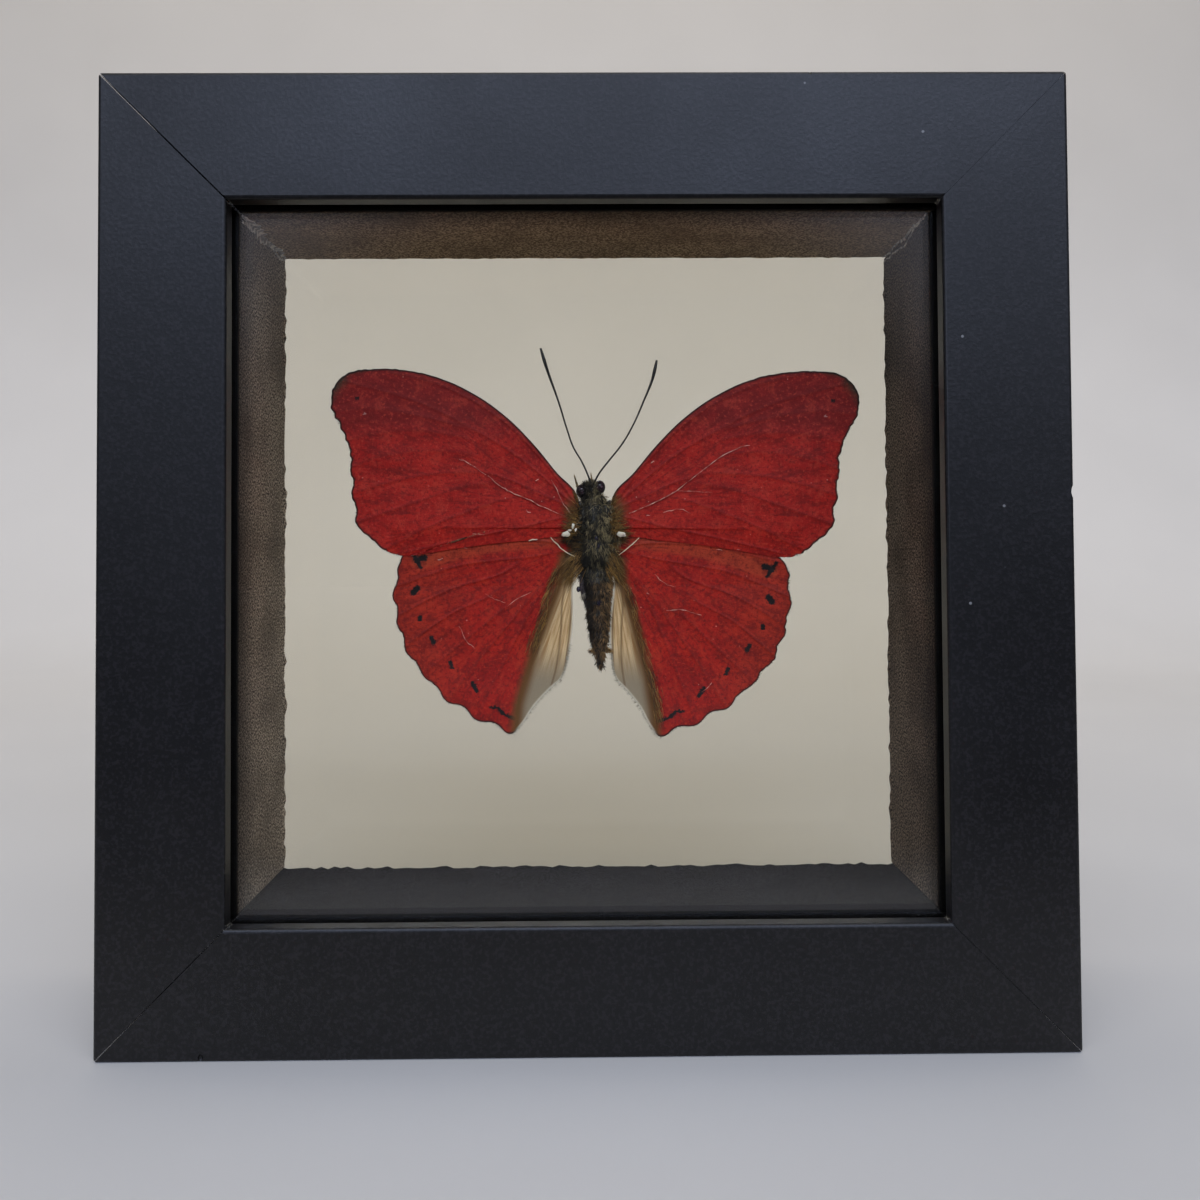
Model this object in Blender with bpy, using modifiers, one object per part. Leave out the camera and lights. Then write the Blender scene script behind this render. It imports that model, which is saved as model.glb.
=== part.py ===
"""Framed butterfly specimen: a spread red butterfly held between two panes of glass in a
small mitred box frame of wood, which stands on its lower rail.

Metres, +Z up. The origin is the middle of the frame's underside and the front faces -Y.
"""
import math

import bmesh
import bpy
from mathutils import Matrix, Vector

MM = 0.001
GAP = 0.3 * MM            # clearance left between pieces that touch

# Frame
FRAME_WIDTH = 120.0 * MM
FRAME_HEIGHT = 120.8 * MM
FRAME_DEPTH = 30.0 * MM
RAIL_WIDTH = 15.8 * MM    # width of a rail's front face
LIP_OVERHANG = 4.5 * MM   # how far the lip stands over the glass
LIP_THICKNESS = 2.6 * MM
ARRIS = 0.4 * MM          # softened edges of the rails
GLASS_THICKNESS = 1.8 * MM
STOP_DEPTH = 1.5 * MM     # strips behind the back pane, flush with the frame's back
STOP_SETBACK = 1.4 * MM   # how far they stay out of sight behind the spacers
SEAM = 0.2 * MM           # ground edges of the glass

FRONT = -FRAME_DEPTH / 2
BACK = FRAME_DEPTH / 2
CENTRE_Z = FRAME_HEIGHT / 2
SPACER_THICKNESS = LIP_OVERHANG - GAP
STOP_THICKNESS = SPACER_THICKNESS - STOP_SETBACK

# Half the space behind the lip that the panes and strips fill, across and up
FILL_X = FRAME_WIDTH / 2 - RAIL_WIDTH + LIP_OVERHANG - GAP
FILL_Z = FRAME_HEIGHT / 2 - RAIL_WIDTH + LIP_OVERHANG - GAP

# What lies behind what, from the front: lip, pane, spacers, pane, stops
FRONT_GLASS_Y = FRONT + LIP_THICKNESS + GAP
SPACER_Y = FRONT_GLASS_Y + GLASS_THICKNESS + GAP
BACK_GLASS_Y = BACK - STOP_DEPTH - GAP - GLASS_THICKNESS
SPACER_DEPTH = BACK_GLASS_Y - GAP - SPACER_Y

# Specimen
GLUE_RADIUS = 1.7 * MM
GLUE_HEIGHT = 0.6 * MM
THORAX_HALF_WIDTH = 2.2 * MM
BODY_FLATTENING = 0.95    # depth of the body as a part of its width
BODY_TILT = math.radians(-2.0)
SPECIMEN_X = 1.3 * MM     # the specimen is set a little right of the middle
SPECIMEN_Z = 64.4 * MM    # height of the middle of the thorax
SPECIMEN_Y = BACK_GLASS_Y - 2 * GAP - GLUE_HEIGHT - THORAX_HALF_WIDTH * BODY_FLATTENING
WING_THICKNESS = 0.3 * MM
FOREWING_Y = -1.2 * MM    # wing planes, from the body's axis
HINDWING_Y = -0.5 * MM

# Outline of a forewing in mm from its root, along the costa to the apex, down the
# scalloped outer margin and back along the inner margin
FOREWING = (
    (0.0, 1.6), (3.3, 5.8), (6.8, 10.1), (10.8, 14.0), (15.3, 17.1), (20.0, 19.2),
    (24.5, 20.2), (29.0, 20.4), (32.2, 20.0), (34.2, 18.6), (35.0, 16.6), (34.9, 14.4),
    (33.9, 12.4), (32.9, 10.2), (32.3, 7.8), (32.4, 5.8), (31.9, 4.2), (32.2, 2.6),
    (31.6, 0.6), (31.6, -1.6), (29.5, -3.7), (27.4, -5.5), (25.2, -6.2), (21.0, -5.8),
    (16.3, -5.1), (10.5, -4.4), (5.5, -3.9), (1.0, -2.6),
)

# Outline of a hindwing, along its leading edge, round the scalloped outer margin to the
# tail corner, and up the inner margin beside the abdomen
HINDWING = (
    (0.7, 0.4), (6.0, 2.2), (13.0, 2.6), (20.0, 1.8), (24.0, 0.2), (25.8, -2.0),
    (26.1, -4.6), (26.7, -6.9), (26.1, -8.9), (26.2, -11.0), (25.2, -12.9), (25.0, -14.8),
    (23.5, -16.4), (22.6, -18.2), (20.5, -20.0), (19.2, -22.0), (16.8, -22.8),
    (15.0, -24.7), (12.3, -25.2), (10.1, -26.7), (8.8, -25.7), (6.6, -22.6), (4.4, -20.3),
    (2.8, -18.8), (1.5, -14.0), (1.1, -10.0), (1.1, -6.0), (0.8, -2.0),
)

# Name, outline, side, root in mm from the middle of the thorax, plane, turn in degrees
WINGS = (
    ("forewing_left", FOREWING, -1, (-2.5, 3.0), FOREWING_Y, 0.0),
    ("forewing_right", FOREWING, 1, (2.3, 3.0), FOREWING_Y, -1.2),
    ("hindwing_left", HINDWING, -1, (-2.3, -2.0), HINDWING_Y, 0.0),
    ("hindwing_right", HINDWING, 1, (2.1, -2.0), HINDWING_Y, -4.0),
)

# Half width of the body down its length, both in mm: neck, thorax, waist, abdomen, tip
BODY_PROFILE = (
    (0.0, 5.2), (1.1, 5.0), (1.7, 4.2), (2.1, 2.6), (2.2, 0.6), (2.15, -1.6), (1.9, -4.0),
    (1.5, -6.2), (1.55, -7.4), (1.75, -9.0), (1.75, -11.2), (1.55, -13.6), (1.2, -16.0),
    (0.7, -18.2), (0.0, -19.6),
)
HEAD_CENTRE = Vector((-0.4, -0.1, 5.7)) * MM
HEAD_RADIUS = 1.35 * MM
EYE_RADIUS = 0.85 * MM
EYE_OFFSET = Vector((1.05, -0.2, 0.1)) * MM

# Antennae in mm from the middle of the thorax: across and up
ANTENNAE = (
    ("antenna_left", ((-0.9, 7.9), (-1.9, 10.0), (-3.2, 12.3), (-4.0, 14.6), (-5.3, 18.9),
                      (-6.7, 22.9), (-7.8, 26.4))),
    ("antenna_right", ((0.1, 7.9), (1.8, 10.1), (3.8, 12.6), (5.5, 15.5), (7.1, 19.1),
                       (8.2, 21.8), (8.9, 24.6))),
)
ANTENNA_RADIUS = 0.14 * MM
CLUB_SWELL = 1.9          # radius at the club as a part of the shaft's
ANTENNA_Y = -0.6 * MM

COLLECTION = "framed_butterfly_specimen"


def clear_scene():
    for item in list(bpy.data.objects):
        bpy.data.objects.remove(item, do_unlink=True)


def make_collection(name):
    collection = bpy.data.collections.new(name)
    bpy.context.scene.collection.children.link(collection)
    return collection


def make_material(name, colour, roughness, metallic=0.0, transmission=0.0):
    material = bpy.data.materials.new(name)
    material.use_nodes = True
    shader = material.node_tree.nodes["Principled BSDF"]
    shader.inputs["Base Color"].default_value = (*colour, 1.0)
    shader.inputs["Roughness"].default_value = roughness
    shader.inputs["Metallic"].default_value = metallic
    shader.inputs["Transmission Weight"].default_value = transmission
    return material


def add_object(name, data, collection, material=None):
    item = bpy.data.objects.new(name, data)
    collection.objects.link(item)
    if material:
        data.materials.append(material)
    return item


def bevel(item, width, segments=2):
    modifier = item.modifiers.new("Bevel", "BEVEL")
    modifier.width = width
    modifier.segments = segments
    modifier.limit_method = "ANGLE"
    modifier.angle_limit = math.radians(40)


def box_mesh(name, size):
    """A box of the given size about its own middle."""
    mesh = bpy.data.meshes.new(name)
    shape = bmesh.new()
    bmesh.ops.create_cube(shape, size=1.0)
    bmesh.ops.scale(shape, vec=size, verts=shape.verts)
    shape.to_mesh(mesh)
    shape.free()
    return mesh


def mesh_from(item):
    """Turn an object into a plain welded mesh with its faces out, and remove the object."""
    bpy.context.view_layer.update()
    evaluated = item.evaluated_get(bpy.context.evaluated_depsgraph_get())
    mesh = bpy.data.meshes.new_from_object(evaluated)
    shape = bmesh.new()
    shape.from_mesh(mesh)
    bmesh.ops.remove_doubles(shape, verts=shape.verts, dist=0.00001)
    bmesh.ops.recalc_face_normals(shape, faces=shape.faces)
    shape.to_mesh(mesh)
    shape.free()
    bpy.data.objects.remove(item, do_unlink=True)
    return mesh


def extruded_outline(name, points, thickness, collection, smooth=False):
    """A flat outline in XY, straight or smooth between its points, with a thickness in Z."""
    curve = bpy.data.curves.new(name, "CURVE")
    curve.dimensions = "2D"
    curve.fill_mode = "BOTH"
    curve.extrude = thickness / 2
    curve.resolution_u = 3
    spline = curve.splines.new("BEZIER" if smooth else "POLY")
    if smooth:
        spline.bezier_points.add(len(points) - 1)
        for knot, (across, up) in zip(spline.bezier_points, points):
            knot.co = (across, up, 0.0)
            knot.handle_left_type = "AUTO"
            knot.handle_right_type = "AUTO"
    else:
        spline.points.add(len(points) - 1)
        for knot, (across, up) in zip(spline.points, points):
            knot.co = (across, up, 0.0, 1.0)
    spline.use_cyclic_u = True
    return mesh_from(add_object(name, curve, collection))


def turned(name, profile, steps, collection):
    """A solid of revolution about Z from (radius, height) points, top to bottom."""
    mesh = bpy.data.meshes.new(name)
    points = [(radius, 0.0, height) for radius, height in profile]
    edges = [(index, index + 1) for index in range(len(points) - 1)]
    mesh.from_pydata(points, edges, [])
    item = add_object(name, mesh, collection)
    screw = item.modifiers.new("Screw", "SCREW")
    screw.axis = "Z"
    screw.steps = steps
    screw.render_steps = steps
    screw.use_merge_vertices = True
    screw.merge_threshold = 0.00001
    return mesh_from(item)


def ball(name, radius, centre, collection, segments=16):
    """A sphere that a Boolean joins to the body, so it is a guide and not a piece."""
    mesh = bpy.data.meshes.new(name)
    shape = bmesh.new()
    bmesh.ops.create_uvsphere(shape, u_segments=segments, v_segments=segments // 2 + 2,
                              radius=radius)
    shape.to_mesh(mesh)
    shape.free()
    item = add_object(name, mesh, collection)
    item.location = centre
    item.hide_render = True
    item.display_type = "WIRE"
    return item


def rail_mesh(length, collection):
    """One rail: an L section, lip to the front, with both ends cut at 45 degrees.

    It lies along X, its outer face down at Z = 0 and its inner face up.
    """
    body_height = RAIL_WIDTH - LIP_OVERHANG
    lip_back = FRONT + LIP_THICKNESS
    section = (
        (FRONT, 0.0), (BACK, 0.0), (BACK, body_height), (lip_back, body_height),
        (lip_back, RAIL_WIDTH), (FRONT, RAIL_WIDTH),
    )
    mesh = extruded_outline("rail_section", section, length, collection)
    mesh.transform(Matrix(((0, 0, 1, 0), (1, 0, 0, 0), (0, 1, 0, 0), (0, 0, 0, 1))))
    shape = bmesh.new()
    shape.from_mesh(mesh)
    corner = length / 2 - GAP / 2 * math.sqrt(2)
    for side in (-1, 1):
        cut = bmesh.ops.bisect_plane(
            shape, geom=shape.verts[:] + shape.edges[:] + shape.faces[:],
            plane_co=(side * corner, 0, 0), plane_no=(side, 0, 1), clear_outer=True,
        )
        rim = [item for item in cut["geom_cut"] if isinstance(item, bmesh.types.BMEdge)]
        bmesh.ops.contextual_create(shape, geom=rim)
    bmesh.ops.recalc_face_normals(shape, faces=shape.faces)
    shape.to_mesh(mesh)
    shape.free()
    return mesh


def build_rails(collection, material):
    """Two pairs of rails, each rail turned a quarter more round the frame's middle."""
    flat = rail_mesh(FRAME_WIDTH, collection)
    upright = rail_mesh(FRAME_HEIGHT, collection)
    for turn, (name, mesh, reach) in enumerate((
        ("rail_bottom", flat, FRAME_HEIGHT / 2), ("rail_left", upright, FRAME_WIDTH / 2),
        ("rail_top", flat, FRAME_HEIGHT / 2), ("rail_right", upright, FRAME_WIDTH / 2),
    )):
        rail = bpy.data.objects.new(name, mesh)
        collection.objects.link(rail)
        if not mesh.materials:
            mesh.materials.append(material)
        angle = turn * math.pi / 2
        rail.rotation_euler = (0.0, angle, 0.0)
        outward = Vector((-math.sin(angle), 0.0, -math.cos(angle)))
        rail.location = Vector((0.0, 0.0, CENTRE_Z)) + outward * reach
        bevel(rail, ARRIS)


def build_glass(collection, material):
    size = (2 * FILL_X, GLASS_THICKNESS, 2 * FILL_Z)
    for name, low_y in (("glass_front", FRONT_GLASS_Y), ("glass_back", BACK_GLASS_Y)):
        pane = add_object(name, box_mesh(name, size), collection, material)
        pane.location = (0.0, low_y + GLASS_THICKNESS / 2, CENTRE_Z)
        bevel(pane, SEAM, segments=1)


def build_strips(kind, low_y, depth, thickness, collection, material):
    """Four strips round the inside of the frame: two full width, two between them."""
    across = FILL_X - thickness / 2
    up = FILL_Z - thickness / 2
    flat_size = (2 * FILL_X, depth, thickness)
    upright_size = (thickness, depth, 2 * (FILL_Z - thickness - GAP))
    for side, x, z, size in (
        ("top", 0.0, up, flat_size), ("bottom", 0.0, -up, flat_size),
        ("left", -across, 0.0, upright_size), ("right", across, 0.0, upright_size),
    ):
        name = f"{kind}_{side}"
        strip = add_object(name, box_mesh(name, size), collection, material)
        strip.location = (x, low_y + depth / 2, CENTRE_Z + z)


def build_glue(collection, material):
    """The dab that holds the thorax to the back pane: a low dome on a flat base."""
    profile = (
        (0.0, GLUE_HEIGHT), (0.55 * GLUE_RADIUS, 0.88 * GLUE_HEIGHT),
        (0.85 * GLUE_RADIUS, 0.5 * GLUE_HEIGHT), (GLUE_RADIUS, 0.0), (0.0, 0.0),
    )
    mesh = turned("glue_dab", profile, 20, collection)
    dab = add_object("glue_dab", mesh, collection, material)
    dab.rotation_euler = (math.pi / 2, 0.0, 0.0)
    dab.location = (SPECIMEN_X, BACK_GLASS_Y - GAP, SPECIMEN_Z)


def build_body(collection, guides, parent, material):
    """Thorax and abdomen turned in one, flattened, with the head and eyes joined on."""
    profile = [(radius * MM, height * MM) for radius, height in BODY_PROFILE]
    mesh = turned("body", profile, 20, collection)
    mesh.transform(Matrix.Diagonal((1.0, BODY_FLATTENING, 1.0, 1.0)))
    body = add_object("body", mesh, collection, material)
    body.rotation_euler = (0.0, BODY_TILT, 0.0)
    body.parent = parent
    pieces = [ball("head", HEAD_RADIUS, HEAD_CENTRE, guides)]
    for side, name in ((-1, "eye_left"), (1, "eye_right")):
        offset = Vector((side * EYE_OFFSET.x, EYE_OFFSET.y, EYE_OFFSET.z))
        pieces.append(ball(name, EYE_RADIUS, HEAD_CENTRE + offset, guides, 12))
    for piece in pieces:
        piece.parent = body
        join = body.modifiers.new(piece.name, "BOOLEAN")
        join.operation = "UNION"
        join.object = piece


def build_wings(collection, parent, material_of):
    for name, outline, side, root, plane_y, turn in WINGS:
        points = [(side * across * MM, up * MM) for across, up in outline]
        mesh = extruded_outline(name, points, WING_THICKNESS, collection, smooth=True)
        wing = add_object(name, mesh, collection, material_of[outline])
        wing.location = (root[0] * MM, plane_y, root[1] * MM)
        wing.rotation_euler = (math.pi / 2, -side * math.radians(turn), 0.0)
        wing.parent = parent


def build_antennae(collection, parent, material):
    for name, route in ANTENNAE:
        curve = bpy.data.curves.new(name, "CURVE")
        curve.dimensions = "3D"
        curve.bevel_depth = ANTENNA_RADIUS
        curve.bevel_resolution = 2
        curve.resolution_u = 4
        curve.use_fill_caps = True
        spline = curve.splines.new("BEZIER")
        spline.bezier_points.add(len(route) - 1)
        club_start = len(route) - 2
        for index, (knot, (across, up)) in enumerate(zip(spline.bezier_points, route)):
            knot.co = (across * MM, 0.0, up * MM)
            knot.handle_left_type = "AUTO"
            knot.handle_right_type = "AUTO"
            knot.radius = CLUB_SWELL if index >= club_start else 1.0
        antenna = add_object(name, curve, collection, material)
        antenna.location = (0.0, ANTENNA_Y, 0.0)
        antenna.parent = parent


def main():
    clear_scene()
    parts = make_collection(COLLECTION)
    guides = make_collection("guides")
    black_paint = make_material("satin_black_paint", (0.018, 0.017, 0.022), 0.45)
    strip_paint = make_material("rough_grey_brown_paint", (0.055, 0.047, 0.040), 0.9)
    glass = make_material("clear_glass", (0.95, 0.97, 0.96), 0.02, transmission=1.0)
    glue = make_material("clear_glue", (0.85, 0.80, 0.65), 0.15, transmission=0.8)
    fur = make_material("olive_brown_fur", (0.045, 0.036, 0.022), 0.85)
    forewing = make_material("crimson_wing_scales", (0.28, 0.012, 0.012), 0.65)
    hindwing = make_material("scarlet_wing_scales", (0.38, 0.022, 0.012), 0.65)
    horn = make_material("black_antenna", (0.010, 0.008, 0.008), 0.5)

    build_rails(parts, black_paint)
    build_glass(parts, glass)
    build_strips("spacer", SPACER_Y, SPACER_DEPTH, SPACER_THICKNESS, parts, strip_paint)
    build_strips("stop", BACK - STOP_DEPTH, STOP_DEPTH, STOP_THICKNESS, parts, black_paint)
    build_glue(parts, glue)

    specimen = add_object("specimen", None, parts)
    specimen.location = (SPECIMEN_X, SPECIMEN_Y, SPECIMEN_Z)
    build_body(parts, guides, specimen, fur)
    build_wings(parts, specimen, {FOREWING: forewing, HINDWING: hindwing})
    build_antennae(parts, specimen, horn)


main()
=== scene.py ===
"""Looks of the framed butterfly specimen: a satin black mitred box frame, two panes of clear
glass, rough painted linings and a spread blood-red butterfly glued to the back pane.

Metres, +Z up, the front of the frame faces -Y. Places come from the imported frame's boxes.
"""

import math

import bmesh
import bpy
import numpy as np
from mathutils import Euler, Matrix, Vector, noise


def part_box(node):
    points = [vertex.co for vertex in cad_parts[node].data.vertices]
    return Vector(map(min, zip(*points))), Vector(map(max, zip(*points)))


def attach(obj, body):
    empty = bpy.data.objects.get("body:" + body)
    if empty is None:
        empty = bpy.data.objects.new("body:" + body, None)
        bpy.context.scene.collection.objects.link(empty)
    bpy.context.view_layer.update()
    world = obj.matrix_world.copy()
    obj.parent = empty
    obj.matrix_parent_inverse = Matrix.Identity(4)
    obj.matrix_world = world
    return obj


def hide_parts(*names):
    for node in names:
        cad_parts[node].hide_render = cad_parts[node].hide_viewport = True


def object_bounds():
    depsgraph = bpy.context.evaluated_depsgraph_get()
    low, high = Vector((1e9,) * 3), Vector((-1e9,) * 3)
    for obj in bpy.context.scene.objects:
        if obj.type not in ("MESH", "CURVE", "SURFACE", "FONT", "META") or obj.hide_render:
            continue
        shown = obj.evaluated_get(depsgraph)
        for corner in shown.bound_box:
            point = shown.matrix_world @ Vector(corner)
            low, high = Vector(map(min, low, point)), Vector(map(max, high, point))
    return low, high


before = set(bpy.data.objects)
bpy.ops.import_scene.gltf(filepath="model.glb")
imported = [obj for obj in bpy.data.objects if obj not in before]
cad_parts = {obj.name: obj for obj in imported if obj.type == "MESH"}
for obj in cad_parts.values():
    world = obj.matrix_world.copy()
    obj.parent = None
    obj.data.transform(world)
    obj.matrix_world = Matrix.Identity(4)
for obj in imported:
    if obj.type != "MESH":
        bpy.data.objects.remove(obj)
cad_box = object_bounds()

MM = 0.001
GAP = 0.3 * MM            # what the solids leave between touching pieces
BODY = "root"

# Places read from the frame
low, high = cad_box
FRONT = low.y
BACK = high.y
CENTRE = (low + high) / 2
WIDTH = high.x - low.x
HEIGHT = high.z - low.z
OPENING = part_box("rail_right")[0].x          # half of the front opening, across and up
OPENING_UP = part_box("rail_top")[0].z - CENTRE.z
RAIL_WIDTH = high.x - OPENING
LIP_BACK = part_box("glass_front")[0].y - GAP
RABBET_INSET = high.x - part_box("glass_front")[1].x - GAP    # wall left behind the lip
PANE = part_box("glass_back")[0].y             # inner face of the back pane
STRIP_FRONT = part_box("spacer_top")[0].y
dab_low, dab_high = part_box("glue_dab")
body_low, body_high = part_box("body")
HEART = Vector(((dab_low.x + dab_high.x) / 2, (body_low.y + body_high.y) / 2,
                (dab_low.z + dab_high.z) / 2))   # middle of the thorax


# ---------------------------------------------------------------- colours and materials

SMOOTH = {"interpolation_type": "SMOOTHSTEP"}


def srgb(code):
    """Linear RGBA from an sRGB hex value."""
    channels = [int(code[start:start + 2], 16) / 255 for start in (1, 3, 5)]
    linear = [c / 12.92 if c <= 0.04045 else ((c + 0.055) / 1.055) ** 2.4 for c in channels]
    return (*linear, 1.0)


def add_node(tree, kind, sockets=None, **settings):
    """Add a node with its settings. A socket gets a value, or a link if given a socket."""
    node = tree.nodes.new(kind)
    for name, value in settings.items():
        setattr(node, name, value)
    for key, value in (sockets or {}).items():
        if isinstance(value, bpy.types.NodeSocket):
            tree.links.new(value, node.inputs[key])
        else:
            node.inputs[key].default_value = value
    return node


def new_material(name, **sockets):
    """A Principled material. Its sockets are given with underscores for spaces."""
    material = bpy.data.materials.new(name)
    material.use_nodes = True
    tree = material.node_tree
    shader = tree.nodes["Principled BSDF"]
    for key, value in sockets.items():
        shader.inputs[key.replace("_", " ")].default_value = value
    place = add_node(tree, "ShaderNodeTexCoord").outputs["Object"]
    return material, tree, shader, place


def per_metre(size_mm):
    """The scale at which noise has blotches about size_mm across."""
    return 0.6 / (size_mm * MM)


def lay(tree, colour, over, value, span=None, share=(0.0, 1.0)):
    """Lay a second colour over a first. The value says how much of it shows, 0 to 1. With a
    span, that goes smoothly from one share to the other as the value crosses the span."""
    if span:
        value = add_node(tree, "ShaderNodeMapRange", {
            0: value, 1: span[0], 2: span[1], 3: share[0], 4: share[1],
        }, **SMOOTH).outputs[0]
    under, over = (srgb(one) if isinstance(one, str) else one for one in (colour, over))
    return add_node(tree, "ShaderNodeMix", {0: value, 6: under, 7: over},
                    data_type="RGBA").outputs[2]


def coat(tree, shader, colour, height=None, depth_mm=0.0):
    """Give the surface its colour and, where it has a height, a fine relief."""
    tree.links.new(colour, shader.inputs["Base Color"])
    if height is not None:
        bump = add_node(tree, "ShaderNodeBump", {
            "Height": height, "Distance": depth_mm * MM, "Strength": 1.0})
        tree.links.new(bump.outputs[0], shader.inputs["Normal"])


def specks(tree, place, scale, rim, kept, uneven=False):
    """Sparse round specks, at most one in a cell, as a mask from 0 to 1. The rim is where
    they end in their cells, and kept is the span over which cells are chosen."""
    cells = add_node(tree, "ShaderNodeTexVoronoi", {"Vector": place, "Scale": scale})
    pick = add_node(tree, "ShaderNodeSeparateColor", {0: cells.outputs["Color"]})
    small = add_node(tree, "ShaderNodeMapRange", {
        0: cells.outputs["Distance"], 1: rim[0], 2: rim[1], 3: 1.0, 4: 0.0}, **SMOOTH)
    chosen = add_node(tree, "ShaderNodeMapRange", {
        0: pick.outputs[0], 1: kept[0], 2: kept[1], 3: 0.0, 4: 1.0}, **SMOOTH)
    mask = add_node(tree, "ShaderNodeMath", {0: small.outputs[0], 1: chosen.outputs[0]},
                    operation="MULTIPLY")
    if uneven:
        mask = add_node(tree, "ShaderNodeMath", {0: mask.outputs[0], 1: pick.outputs[1]},
                        operation="MULTIPLY")
    return mask.outputs[0]


def satin_black_lacquer():
    """Sprayed satin black lacquer on wood: a soft grey sheen over a fine pebbled skin, with
    a few specks of house dust."""
    material, tree, shader, place = new_material(
        "satin_black_lacquer", IOR=1.5, Specular_IOR_Level=0.42)
    cloudy = add_node(tree, "ShaderNodeTexNoise", {
        "Vector": place, "Scale": per_metre(14.0)}).outputs["Fac"]
    pebbles = add_node(tree, "ShaderNodeTexNoise", {
        "Vector": place, "Scale": per_metre(0.24)}).outputs["Fac"]
    colour = lay(tree, "#080605", "#0C0A09", cloudy)
    colour = lay(tree, colour, "#1C191A", pebbles, (0.46, 0.66))
    dust = specks(tree, place, 210.0, (0.028, 0.05), (0.62, 0.66), uneven=True)
    sheen = add_node(tree, "ShaderNodeMapRange", {
        0: cloudy, 1: 0.3, 2: 0.7, 3: 0.40, 4: 0.48}, **SMOOTH)
    tree.links.new(sheen.outputs[0], shader.inputs["Roughness"])
    coat(tree, shader, lay(tree, colour, "#8E8C8A", dust), pebbles, 0.022)
    return material


def rough_lining_paint(name, dark, light):
    """Thin dark paint on raw sawn strips: gritty, matt, the lighter wood rubbing through, and
    blacker towards the front edge, as painted shade of the recess behind the lip."""
    material, tree, shader, place = new_material(name, Roughness=0.92, Specular_IOR_Level=0.12)
    grit = add_node(tree, "ShaderNodeTexNoise", {
        "Vector": place, "Scale": per_metre(0.17), "Detail": 3.0, "Roughness": 0.6,
    }).outputs["Fac"]
    patches = add_node(tree, "ShaderNodeTexNoise", {
        "Vector": place, "Scale": per_metre(5.0)}).outputs["Fac"]
    depth = add_node(tree, "ShaderNodeSeparateXYZ", {0: place}).outputs[1]
    colour = lay(tree, dark, light, grit, (0.44, 0.60))
    colour = lay(tree, colour, dark, patches, (0.35, 0.75), (0.0, 0.5))
    # Painted shade: darker over the front 9 mm of the strip and near black at its front edge,
    # behind the lip
    colour = lay(tree, colour, "#0E0B0B", depth, (STRIP_FRONT, STRIP_FRONT + 9 * MM),
                 (0.7, 0.0))
    colour = lay(tree, colour, "#080707", depth,
                 (STRIP_FRONT + 0.3 * MM, STRIP_FRONT + 1.2 * MM), (1.0, 0.0))
    coat(tree, shader, colour, grit, 0.16)
    return material


def picture_glass():
    """Float glass, 1.8 mm: clear, a breath of warm grey, sharp reflections. Lamps light what
    is behind it, as they do through thin flat glass."""
    material, tree, shader, _ = new_material(
        "picture_glass", Roughness=0.0, IOR=1.52, Transmission_Weight=1.0,
        Base_Color=srgb("#FAF8F0"),
    )
    clear = add_node(tree, "ShaderNodeBsdfTransparent", {0: srgb("#F4F3EE")})
    rays = add_node(tree, "ShaderNodeLightPath")
    both = add_node(tree, "ShaderNodeMixShader", {
        0: rays.outputs["Is Shadow Ray"], 1: shader.outputs[0], 2: clear.outputs[0],
    })
    tree.links.new(both.outputs[0], tree.nodes["Material Output"].inputs["Surface"])
    return material


def dried_glue(name, colour, transmission, roughness):
    """Hardened craft glue: milky, uneven, half glossy."""
    material, tree, shader, place = new_material(
        name, IOR=1.48, Transmission_Weight=transmission, Roughness=roughness)
    streaks = add_node(tree, "ShaderNodeTexNoise", {
        "Vector": place, "Scale": per_metre(0.5), "Detail": 3.0}).outputs["Fac"]
    coat(tree, shader, lay(tree, colour, "#EFE6DA", streaks, (0.42, 0.62)), streaks, 0.08)
    return material


def wing_place(tree):
    """Place on the wing in mm from its root, read from the piece's own map."""
    chart = add_node(tree, "ShaderNodeUVMap", uv_map=WING_MAP).outputs[0]
    return add_node(tree, "ShaderNodeVectorMath", {
        0: chart, 1: (MAP_SIZE, MAP_SIZE, 0.0), 2: (-MAP_ORIGIN[0], -MAP_ORIGIN[1], 0.0),
    }, operation="MULTIPLY_ADD").outputs[0]


def wing_values(tree, *names):
    """What the blade's points carry: mm from a vein, from the margin, into the fold."""
    return [add_node(tree, "ShaderNodeAttribute", attribute_name=name).outputs["Fac"]
            for name in names]


def stroke(tree, place, start, end, width):
    """How far a point in mm is inside a short painted stroke with round ends: 0 to 1."""
    way = Vector((end[0] - start[0], end[1] - start[1], 0.0))
    offset = add_node(tree, "ShaderNodeVectorMath", {
        0: place, 1: (start[0], start[1], 0.0)}, operation="SUBTRACT").outputs[0]
    along = add_node(tree, "ShaderNodeVectorMath", {
        0: offset, 1: way / max(way.length_squared, 1e-6)}, operation="DOT_PRODUCT")
    share = add_node(tree, "ShaderNodeMath", {
        0: along.outputs["Value"], 1: 0.0}, operation="ADD", use_clamp=True).outputs[0]
    foot = add_node(tree, "ShaderNodeVectorMath", {
        0: way, "Scale": share}, operation="SCALE").outputs[0]
    far = add_node(tree, "ShaderNodeVectorMath", {
        0: offset, 1: foot}, operation="DISTANCE").outputs["Value"]
    return add_node(tree, "ShaderNodeMapRange", {
        0: far, 1: width * 0.35, 2: width * 0.75, 3: 1.0, 4: 0.0}, **SMOOTH).outputs[0]


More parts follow.
